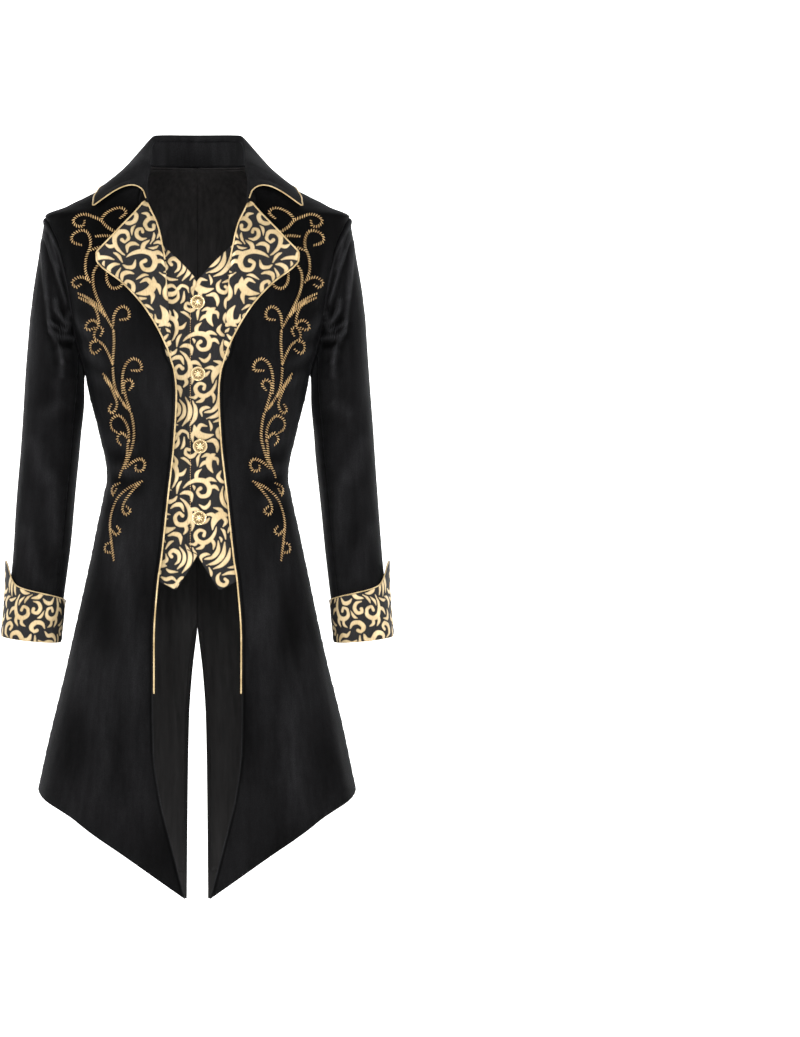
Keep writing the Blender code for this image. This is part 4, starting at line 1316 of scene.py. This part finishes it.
def make_collar():
    """The stand, the fall with its roll, and the cord round the fall."""
    reach = NECK_SEAM[-1][0]
    along = np.linspace(-reach, reach, STAND_COLUMNS + 1)[None, :]
    drop = np.linspace(0, 1, STAND_ROWS + 1)[:, None]
    top = line_at(fold_line, np.abs(along))
    foot = line_at(stand_foot, np.abs(along))
    stand = mirrored(top + (foot - top) * drop[..., None], along + 0 * drop)
    stand[..., 2] += STAND_WAVE[0] * np.sin(stand[..., 0] / STAND_WAVE[1]) * (1 - drop) ** 2
    along = 1 - 2 * crowded(FALL_COLUMNS, FALL_CROWDING)
    rolls = [over_the_fold(along, inward, up)[None] for inward, up in ROLL_POINTS]
    drop = np.linspace(0, 1, FALL_ROWS + 1)[:, None] ** FALL_ROW_CROWD
    fall = fall_at(along[None, :], drop)
    fall[..., 2] += FALL_RIPPLE[0] * np.sin(np.abs(along)[None, :] * FALL_RIPPLE[1]) * np.sin(pi * drop)
    fall = np.concatenate(rolls + [fall])
    for part, points, rests_on, held in (
        ("collar_stand", stand, ["back_left", "back_right"], "stretched"),
        ("collar_fall", fall, ["collar_stand", "front_left", "front_right"], "folded"),
    ):
        light = np.full(points.shape[:2], COLLAR_LIGHT)
        add_cloth(part + "_velvet", points, 1, VELVET_WALL, [VELVET], part,
                  {"light": light})
    down = np.linspace(0, 1, 24)
    to_back = np.linspace(1, 0, 90)
    edge, inside = (np.vstack((fall_at(share, down), fall_at(to_back, share)))
                    for share in (1.0, FALL_INSIDE))
    half = beside(edge, inside, COLLAR_CORD_SET_OFF)
    other = half[-2::-1] * (-1, 1, 1)
    add_cord("collar_cord", np.vstack((half, other)), 1, "collar_piping", COLLAR_CORD_RADIUS)


make_collar()


# Embroidery: scrolling stems with curled ends in old-gold thread, worked in fat slanted stitches that
# stand up like a rope. The fronts have it from the shoulder to the hip, and the back at the waist.
FRONT_STITCH = (3.5, 5.1)
BACK_STITCH = (3.1, 4.8)
FRONT_STEMS = (
    # how far its end is drawn into the curl, then its points: distance from the centre line, and height
    (3, ((117, -102), (131, -93), (140, -83), (151, -78), (162, -74), (173, -76), (180, -83),
        (175, -91), (165, -92), (161, -85))),
    (2.5, ((140, -84), (135, -75), (123, -67), (110, -65), (103, -72), (110, -82))),
    (0, ((123, -107), (135, -106), (147, -107))),
    (0, ((137, -122), (146, -124), (154, -127))),
    (3.5, ((155, -173), (161, -160), (162, -147), (160, -135), (155, -122), (155, -110), (160, -100),
        (169, -98), (180, -104), (181, -114), (170, -122))),
    (0, ((143, -147), (150, -160), (150, -178), (144, -197), (135, -215), (125, -234))),
    (3, ((154, -174), (162, -167), (172, -166), (180, -173), (174, -181), (167, -179))),
    (3, ((131, -160), (130, -172), (123, -182), (112, -182), (105, -177))),
    (0, ((171, -189), (158, -196), (142, -208), (131, -224), (122, -239))),
    (0, ((170, -195), (155, -203), (139, -215), (128, -229), (121, -243))),
    (2, ((155, -201), (148, -209), (143, -222), (142, -236), (147, -242), (149, -253), (145, -258))),
    (1.5, ((142, -236), (146, -230), (153, -228), (159, -232), (160, -239), (154, -242), (148, -240))),
    (2.5, ((141, -237), (135, -242), (137, -251))),
    (3.5, ((122, -292), (128, -277), (135, -264), (144, -258), (153, -260), (154, -269), (148, -276),
        (139, -273))),
    (0, ((121, -238), (120, -261), (122, -292), (120, -319), (113, -338), (97, -360))),
    (3, ((121, -236), (120, -222), (114, -212), (106, -209), (99, -215), (99, -226), (110, -231))),
    (3, ((108, -333), (108, -309), (103, -292), (93, -284), (83, -289), (81, -300), (94, -304))),
    (2.5, ((105, -329), (106, -319), (98, -314), (92, -321), (96, -330))),
    (0, ((136, -305), (125, -320), (116, -335), (103, -354))),
    (0, ((134, -311), (122, -327), (111, -342), (97, -361))),
    (0, ((107, -319), (103, -340), (95, -365), (92, -385), (93, -406), (101, -429), (113, -454))),
    (3, ((124, -327), (119, -338), (116, -350), (122, -361), (129, -357), (127, -348))),
    (3, ((99, -400), (100, -385), (105, -373), (114, -365), (124, -371), (125, -383), (119, -391))),
    (2.5, ((98, -402), (103, -395), (111, -390), (116, -399), (112, -408))),
    (0, ((100, -402), (101, -418), (107, -439))),
    (3, ((103, -441), (95, -433), (82, -428), (76, -435), (80, -445), (90, -444), (92, -438))),
    (2.5, ((113, -462), (123, -468), (121, -480), (115, -472))),
    (0, ((80, -460), (101, -470), (115, -485), (123, -501), (126, -522), (124, -543), (120, -574))),
    (3, ((80, -460), (93, -472), (104, -489), (108, -501), (103, -508), (95, -503), (99, -495))),
    (3, ((124, -530), (117, -537), (110, -532), (113, -524))),
    (3, ((122, -563), (132, -561), (133, -551), (127, -546))),
)
BACK_STEMS = (
    # how far its end is drawn into the curl, then its points: distance from the centre line, and height
    (0, ((0.5, -427), (11, -436), (21, -451), (23, -468), (20, -487), (12, -508), (7, -528),
        (5, -543))),
    (3, ((21, -448), (20, -436), (25, -421), (34, -414), (42, -418), (42, -427), (32, -427))),
    (3, ((22, -474), (32, -473), (42, -477), (43, -487), (36, -490), (31, -484))),
    (3, ((14, -504), (24, -500), (34, -500), (44, -508), (53, -521), (61, -524), (66, -517),
        (62, -509), (55, -511))),
    (3, ((5, -543), (11, -550), (22, -552), (30, -545), (27, -536), (18, -537))),
    (0, ((57, -496), (59, -481), (64, -459), (71, -439), (82, -432), (92, -436), (100, -455),
        (107, -469))),
    (3, ((57, -493), (55, -476), (52, -459), (43, -456), (38, -461), (44, -470))),
    (3, ((92, -436), (102, -431), (112, -421), (114, -410), (107, -405), (102, -412), (108, -416))),
    (3, ((101, -459), (94, -456), (89, -461), (94, -468))),
)
CURL_REACH = 20.0
CURL_STEP = 0.5
GRAIN_SLANT = radians(62.0)
GRAIN_LIFT = 0.3
GRAIN_WIDTH = 0.23
GRAIN_HEIGHT = 0.2
GRAIN_RINGS = (-0.8, -0.35, 0.35, 0.8)
GRAIN_SIDES = 6
STEM_END = 0.65
STEM_END_LENGTH = 9.0
STEM_GAP = 0.34
FAR_AWAY = 1e6


def thread_finish():
    """Old-gold embroidery thread with a silky light along it."""
    material, tree, shader = new_finish("gold_thread", 0.4, metallic=0.25)
    strands = cloudy(tree, 2200, 2, 0.3, 0.7)
    gold = blended(tree, cloudy(tree, 90, 3, 0.3, 0.7), (0.36, 0.215, 0.08), (0.7, 0.47, 0.21))
    wired(tree, shader, {"Base Color": toned(tree, gold, strands, 0.7, 1.15)})
    embossed(tree, shader, strands, 0.5, 0.1)
    return material


THREAD = thread_finish()


def unit_grain():
    """The points and faces of a grain of length 2 along its own first axis."""
    points = [(-1.0, 0.0, 0.0)]
    for along in GRAIN_RINGS:
        radius = (1 - along * along) ** 0.5
        for step in range(GRAIN_SIDES):
            turn = 2 * pi * step / GRAIN_SIDES
            points.append((along, radius * cos(turn), radius * sin(turn)))
    points.append((1.0, 0.0, 0.0))
    last = len(points) - 1
    faces = []
    for step in range(GRAIN_SIDES):
        after = (step + 1) % GRAIN_SIDES
        faces.append((0, 1 + after, 1 + step, 1 + step))
        for ring in range(len(GRAIN_RINGS) - 1):
            near, far = 1 + ring * GRAIN_SIDES, 1 + (ring + 1) * GRAIN_SIDES
            faces.append((near + step, near + after, far + after, far + step))
        near = 1 + (len(GRAIN_RINGS) - 1) * GRAIN_SIDES
        faces.append((near + step, near + after, last, last))
    return np.array(points), np.array(faces)


def add_grains(name, centres, along, out, sizes, side):
    """One mesh of many grains: their middles, directions, outward directions, and half sizes."""
    shape, faces = unit_grain()
    across = unit(np.cross(out, along))
    axes = np.stack((along * sizes[:, 0:1], across * sizes[:, 1:2], out * sizes[:, 2:3]), axis=1)
    points = centres[:, None, :] + np.einsum("pk,nkc->npc", shape, axes)
    index = faces[None] + (np.arange(len(centres)) * len(shape))[:, None, None]
    index = index.reshape(-1, 4)[:, ::side]
    rows = [list(dict.fromkeys(row)) for row in index.tolist()]
    add_piece(name, new_mesh(name, points, rows, side), [THREAD])


def velvet_at(x, z, side, back, out=0.0):
    """Points over the worn velvet, by distance from the centre line and height."""
    around = around_at(x, z, back)
    return body_at(z, around, worn(z, around, side) + out)


def drawn_in(line, shift):
    """A stem's line with its last stretch drawn in towards the middle of its curl."""
    line = evenly(line, CURL_STEP)
    ahead = unit(np.gradient(line, axis=0))
    last = ahead[-int(CURL_REACH / CURL_STEP):]
    headings = np.unwrap(np.arctan2(last[:, 1], last[:, 0]))
    inward = np.column_stack((-ahead[:, 1], ahead[:, 0])) * np.sign(headings[-1] - headings[0])
    left = (len(line) - 1 - np.arange(len(line))) * CURL_STEP
    share = np.clip(1 - left / CURL_REACH, 0, 1)[:, None]
    return line + inward * shift * share**2


def chain_stitched(name, stems, stitch, side, back):
    """Stems worked like a cord: one fat slanted stitch after another, none over an earlier stem."""
    pitch, width = stitch
    worked = np.full((1, 3), FAR_AWAY)
    kept = []
    for curl, stem in stems:
        line = smooth_line(stem, CURL_STEP)
        if curl:
            line = drawn_in(line, curl)
        x, z = evenly(line, pitch).T
        middle = velvet_at(x, z, side, back, GRAIN_LIFT)
        sideways = velvet_at(x + 0.5, z, side, back) - velvet_at(x - 0.5, z, side, back)
        down = velvet_at(x, z - 0.5, side, back) - velvet_at(x, z + 0.5, side, back)
        out = unit(np.cross(sideways, down)) * (1 if back else -1)
        ahead = unit(np.gradient(middle, axis=0))
        slanted = ahead * cos(GRAIN_SLANT) + np.cross(out, ahead) * sin(GRAIN_SLANT)
        run = np.arange(len(x)) * pitch
        taper = STEM_END + (1 - STEM_END) * ease(np.minimum(run + 1, run[-1] - run + 1) / STEM_END_LENGTH)
        long = width / 2 / sin(GRAIN_SLANT) * taper
        sizes = np.column_stack((long, GRAIN_WIDTH * pitch + 0 * long, GRAIN_HEIGHT * width + 0 * long))
        clear = np.linalg.norm(middle[:, None] - worked[None], axis=2).min(axis=1) > STEM_GAP * width
        kept.append([part[clear] for part in (middle, slanted, out, sizes)])
        worked = np.concatenate([parts[0] for parts in kept])
    add_grains(name, *(np.concatenate(parts) for parts in zip(*kept)), side)


for side, hand in SIDES:
    chain_stitched("front_embroidery_" + hand, FRONT_STEMS, FRONT_STITCH, side, False)
    chain_stitched("back_embroidery_" + hand, BACK_STEMS, BACK_STITCH, side, True)


# Topstitching: a row of plain gold stitches that holds the waistcoat's lap, and short rows that show on
# the black reverse of the cuffs' raised corners. A stitch has a pitch and half a length, width and height.
LAP_STITCH = (3.4, 1.25, 0.38, 0.3)
CUFF_STITCH = (3.6, 1.0, 0.42, 0.34)
LAP_STITCHES_IN = 4.5
LAP_FADE = 70.0
LAP_HEIGHTS = np.linspace(-196, -556, 240)
CUFF_STITCH_HEIGHTS = np.linspace(58, 98, 40)
CUFF_STITCHES_IN = 5.0
CUFF_STITCH_LIFT = 0.1


def stitched(name, line, outs, stitch, side):
    """A row of single stitches along a line that lies on the cloth."""
    pitch, *half_size = stitch
    run = run_of(line)
    wanted = np.arange(pitch / 2, run[-1], pitch)
    centres = picked(line, run, wanted)
    ahead = unit(np.gradient(centres, axis=0))
    sizes = np.tile(half_size, (len(wanted), 1))
    add_grains(name, centres, ahead, unit(picked(outs, run, wanted)), sizes, side)


def make_topstitching():
    """The rows on the waistcoat's lap and on the reverse of the cuffs."""
    z = LAP_HEIGHTS
    x = LAP_STITCHES_IN - VEST_OVERLAP + 0 * z
    around = around_at(x, z)
    rise = ease(VEST_PULLS_RISE * LAP_STITCHES_IN / (LAP_STITCHES_IN + LAP_FADE))
    line = body_at(z, around, VEST_OVER + wavy(VEST_PULLS, x, z, 1) * rise + BROCADE_RELIEF)
    outs = body_at(z, around, 1.0) - body_at(z, around)
    stitched("waistcoat_lap_stitches", line, outs, LAP_STITCH, 1)
    around = CUFF_START + CUFF_STITCHES_IN + 0 * CUFF_STITCH_HEIGHTS
    line = cuff_at(around, CUFF_STITCH_HEIGHTS, -CUFF_WALL - CUFF_STITCH_LIFT)
    outs = line - cuff_at(around, CUFF_STITCH_HEIGHTS)
    for side, hand in SIDES:
        stitched("cuff_reverse_stitches_" + hand, line, outs, CUFF_STITCH, side)


make_topstitching()


# Buttons: four domed buttons in antique brass, each with a rope rim, a ring of beads and an eight-petal
# rosette, sewn through the waistcoat's lap.
BUTTONS = ((0, -203), (0.7, -306), (3.6, -410), (2.2, -513))
BUTTON_RADIUS = 10.5
BUTTON_HEIGHT = 6.0
BUTTON_SEAT = 0.1
BUTTON_SEGMENTS = 80
BUTTON_WALL = (
    # share of the radius and of the height, up the outside and over the rim
    (0.84, 0.0), (0.94, 0.04), (0.99, 0.14), (1.0, 0.3), (0.995, 0.45), (0.97, 0.56), (0.93, 0.62),
    (0.88, 0.63), (0.83, 0.58), (0.79, 0.5), (0.76, 0.46), (0.73, 0.46),
)
BUTTON_FACE_RINGS = 22
ROPE_TURNS = 30
ROPE_DEPTH = 0.02
BEADS = 28
PETALS = 8
# Shares of the button's radius, and for the dome of its height
DOME_RADIUS = 0.73
DOME_EDGE = 0.46
DOME_RISE = 0.44
FACE_RADIUS = 0.71
BEAD_RING = 0.64
BEAD_WIDTH = 0.045
PETAL_LENGTH = 0.55
VEIN_WIDTH = 0.03
HEART_RADIUS = 0.12
RAISED_HEIGHT = 0.1


def brass_finish():
    """Antique brass: worn bright on the high parts, dark in the hollows."""
    material, tree, shader = new_finish("antique_brass", 0.36, metallic=0.9)
    spots = cloudy(tree, 420, 3, 0.3, 0.7, to_low=-0.18, to_high=0.18)
    high = add_node(tree, "ShaderNodeMath", {0: drawn(tree, "raised"), 1: spots}, operation="ADD").outputs[0]
    share = ranged(tree, high, 0.15, 0.75, smooth=True)
    wired(tree, shader, {
        "Base Color": blended(tree, share, (0.2, 0.13, 0.05), (0.83, 0.66, 0.39)),
        "Roughness": ranged(tree, share, 0, 1, 0.6, 0.26),
    })
    return material


BRASS = brass_finish()


def button_relief(radius, turn):
    """The height of the button's face, as a share of its height, and how raised its relief is."""
    dome = DOME_EDGE + DOME_RISE * np.cos(np.clip(radius / DOME_RADIUS, 0, 1) * pi / 2) ** 0.8
    petal_width = np.abs(np.cos(PETALS / 2 * turn)) ** 0.6
    petal = ease((PETAL_LENGTH * petal_width + 0.02 - radius) / 0.05) * ease(radius / 0.1 - 0.6)
    vein = bell(np.sin(PETALS / 2 * turn) * radius, VEIN_WIDTH)
    heart = ease((HEART_RADIUS - radius) / 0.04)
    bead = ease(1.3 - np.hypot((radius - BEAD_RING) / BEAD_WIDTH, np.sin(BEADS / 2 * turn) * 1.3))
    raised = np.clip(petal * (1 - 0.5 * vein) + heart + bead, 0, 1)
    return dome + RAISED_HEIGHT * raised, raised


def make_button(name, x, z):
    """One button, turned to face out of the cloth."""
    turn = np.linspace(0, 2 * pi, BUTTON_SEGMENTS, endpoint=False)[None, :]
    across, high = np.array(BUTTON_WALL).T[:, :, None]
    rope = np.abs(np.sin(ROPE_TURNS / 2 * turn + 9 * high)) * ease((high - 0.35) / 0.2)
    face_across = np.linspace(FACE_RADIUS, 0.0, BUTTON_FACE_RINGS)[:, None] + 0 * turn
    face_high, face_raised = button_relief(face_across, turn)
    radius = np.vstack((across + ROPE_DEPTH * rope, face_across)) * BUTTON_RADIUS
    height = np.vstack((high + 1.5 * ROPE_DEPTH * rope, face_high)) * BUTTON_HEIGHT
    raised = np.vstack((ease(rope) * 0.7 + 0.3, face_raised))
    around = around_at(x, z)
    seat = body_at(z, around, VEST_OVER + BUTTON_SEAT)
    out = unit(body_at(z, around, 10.0) - body_at(z, around))
    right = unit(np.cross(out, (0.0, 0.0, -1.0)))
    up = np.cross(right, out)
    level = radius[..., None] * (np.cos(turn)[..., None] * right + np.sin(turn)[..., None] * up)
    points = seat + level + height[..., None] * out
    points, raised = (np.concatenate((part, part[:, :1]), axis=1) for part in (points, raised))
    mesh = grid_mesh(name, points, 1, {"raised": raised})
    add_piece("domed_" + name, mesh, [BRASS], name)


for index, (x, z) in enumerate(BUTTONS, 1):
    make_button("button_%d" % index, x, z)


# Studio: a pale round floor that curves up into a pale wall all round, its paper glowing as painted light
# and glowing less near the coat, so it is darker there, with soft light from large lamps, and a camera
# straight in front. The coat stands left of the frame's middle.
STUDIO_PROFILE = (
    # distance from the coat, height, and how strongly the paper glows, as painted light
    (1, -1450, 0.18), (2000, -1450, 0.2), (3000, -1450, 0.32), (4200, -1450, 0.7), (5500, -1450, 1.15),
    (9000, -1450, 1.15), (15500, -1450, 1.15), (16700, -1330, 1.15), (17800, -950, 1.15),
    (18600, -200, 1.15), (19000, 900, 1.15), (19000, 5000, 1.15),
)
STUDIO_SIDES = 72
LAMPS = (
    # name, place and height it is aimed at in metres, size, watts
    ("lamp_front_left", (-3.1, -1.3, 1.3), -0.5, 0.9, 95),
    ("lamp_front_right", (3.1, -1.3, 0.9), -0.5, 0.9, 70),
    ("lamp_by_camera", (0.2, -5.0, 0.6), -0.5, 1.0, 80),
    ("lamp_above_behind", (0.4, 2.0, 2.4), -0.4, 1.8, 55),
    ("lamp_behind_left", (-2.0, 4.2, 0.8), -0.5, 1.2, 90),
    ("lamp_behind_right", (2.4, 3.6, 0.6), -0.5, 1.2, 60),
)
SKY_STRENGTH = 0.06
CAMERA = (0, -14, -0.7)
CAMERA_AIM = (0.2936, 0, -0.5126)
FRAME_HEIGHT = 1.5037
SENSOR = 36.0


def make_backdrop():
    """The floor and the wall round it, in one sweep, the paper glowing as painted light."""
    material, tree, shader = new_finish("pale_paper", 0.9, shine=0.1)
    paper = blended(tree, cloudy(tree, 1.3, 3, 0.3, 0.7), (0.93, 0.93, 0.93), (0.97, 0.97, 0.97))
    glow = drawn(tree, "glow")
    wired(tree, shader, {"Base Color": paper, "Emission Color": paper, "Emission Strength": glow})
    away, height, paper_glow = np.array(STUDIO_PROFILE, dtype=float).T[:, :, None]
    turn = np.linspace(0, 2 * pi, STUDIO_SIDES + 1)[None, :]
    points = np.stack((away * np.cos(turn), away * np.sin(turn), height + 0 * turn), axis=-1)
    mesh = grid_mesh("studio_sweep", points, 1, {"glow": paper_glow + 0 * turn})
    mesh.materials.append(material)
    sweep = bpy.data.objects.new("studio_sweep", mesh)
    bpy.context.scene.collection.objects.link(sweep)


def put_up(name, data, place, aim):
    """A lamp or the camera, set up at a place and turned towards a point, in metres."""
    thing = bpy.data.objects.new(name, data)
    thing.location = place
    thing.rotation_euler = (Vector(aim) - Vector(place)).to_track_quat("-Z", "Y").to_euler()
    bpy.context.scene.collection.objects.link(thing)
    return thing


def make_studio():
    """Backdrop, lamps, sky and camera."""
    make_backdrop()
    for name, place, aim_height, size, watts in LAMPS:
        light = bpy.data.lights.new(name, "AREA")
        light.shape = "DISK"
        light.size = size
        light.energy = watts
        put_up(name, light, place, (0, 0, aim_height))
    world = bpy.data.worlds.new("studio")
    world.use_nodes = True
    sky = world.node_tree.nodes["Background"]
    wired(world.node_tree, sky, {"Color": (1.0, 1.0, 1.0, 1.0), "Strength": SKY_STRENGTH})
    bpy.context.scene.world = world
    bpy.context.scene.view_settings.view_transform = "Standard"
    camera = bpy.data.cameras.new("camera")
    camera.sensor_width = SENSOR
    camera.lens = SENSOR / FRAME_HEIGHT * -CAMERA[1]
    bpy.context.scene.camera = put_up("camera", camera, CAMERA, CAMERA_AIM)


make_studio()
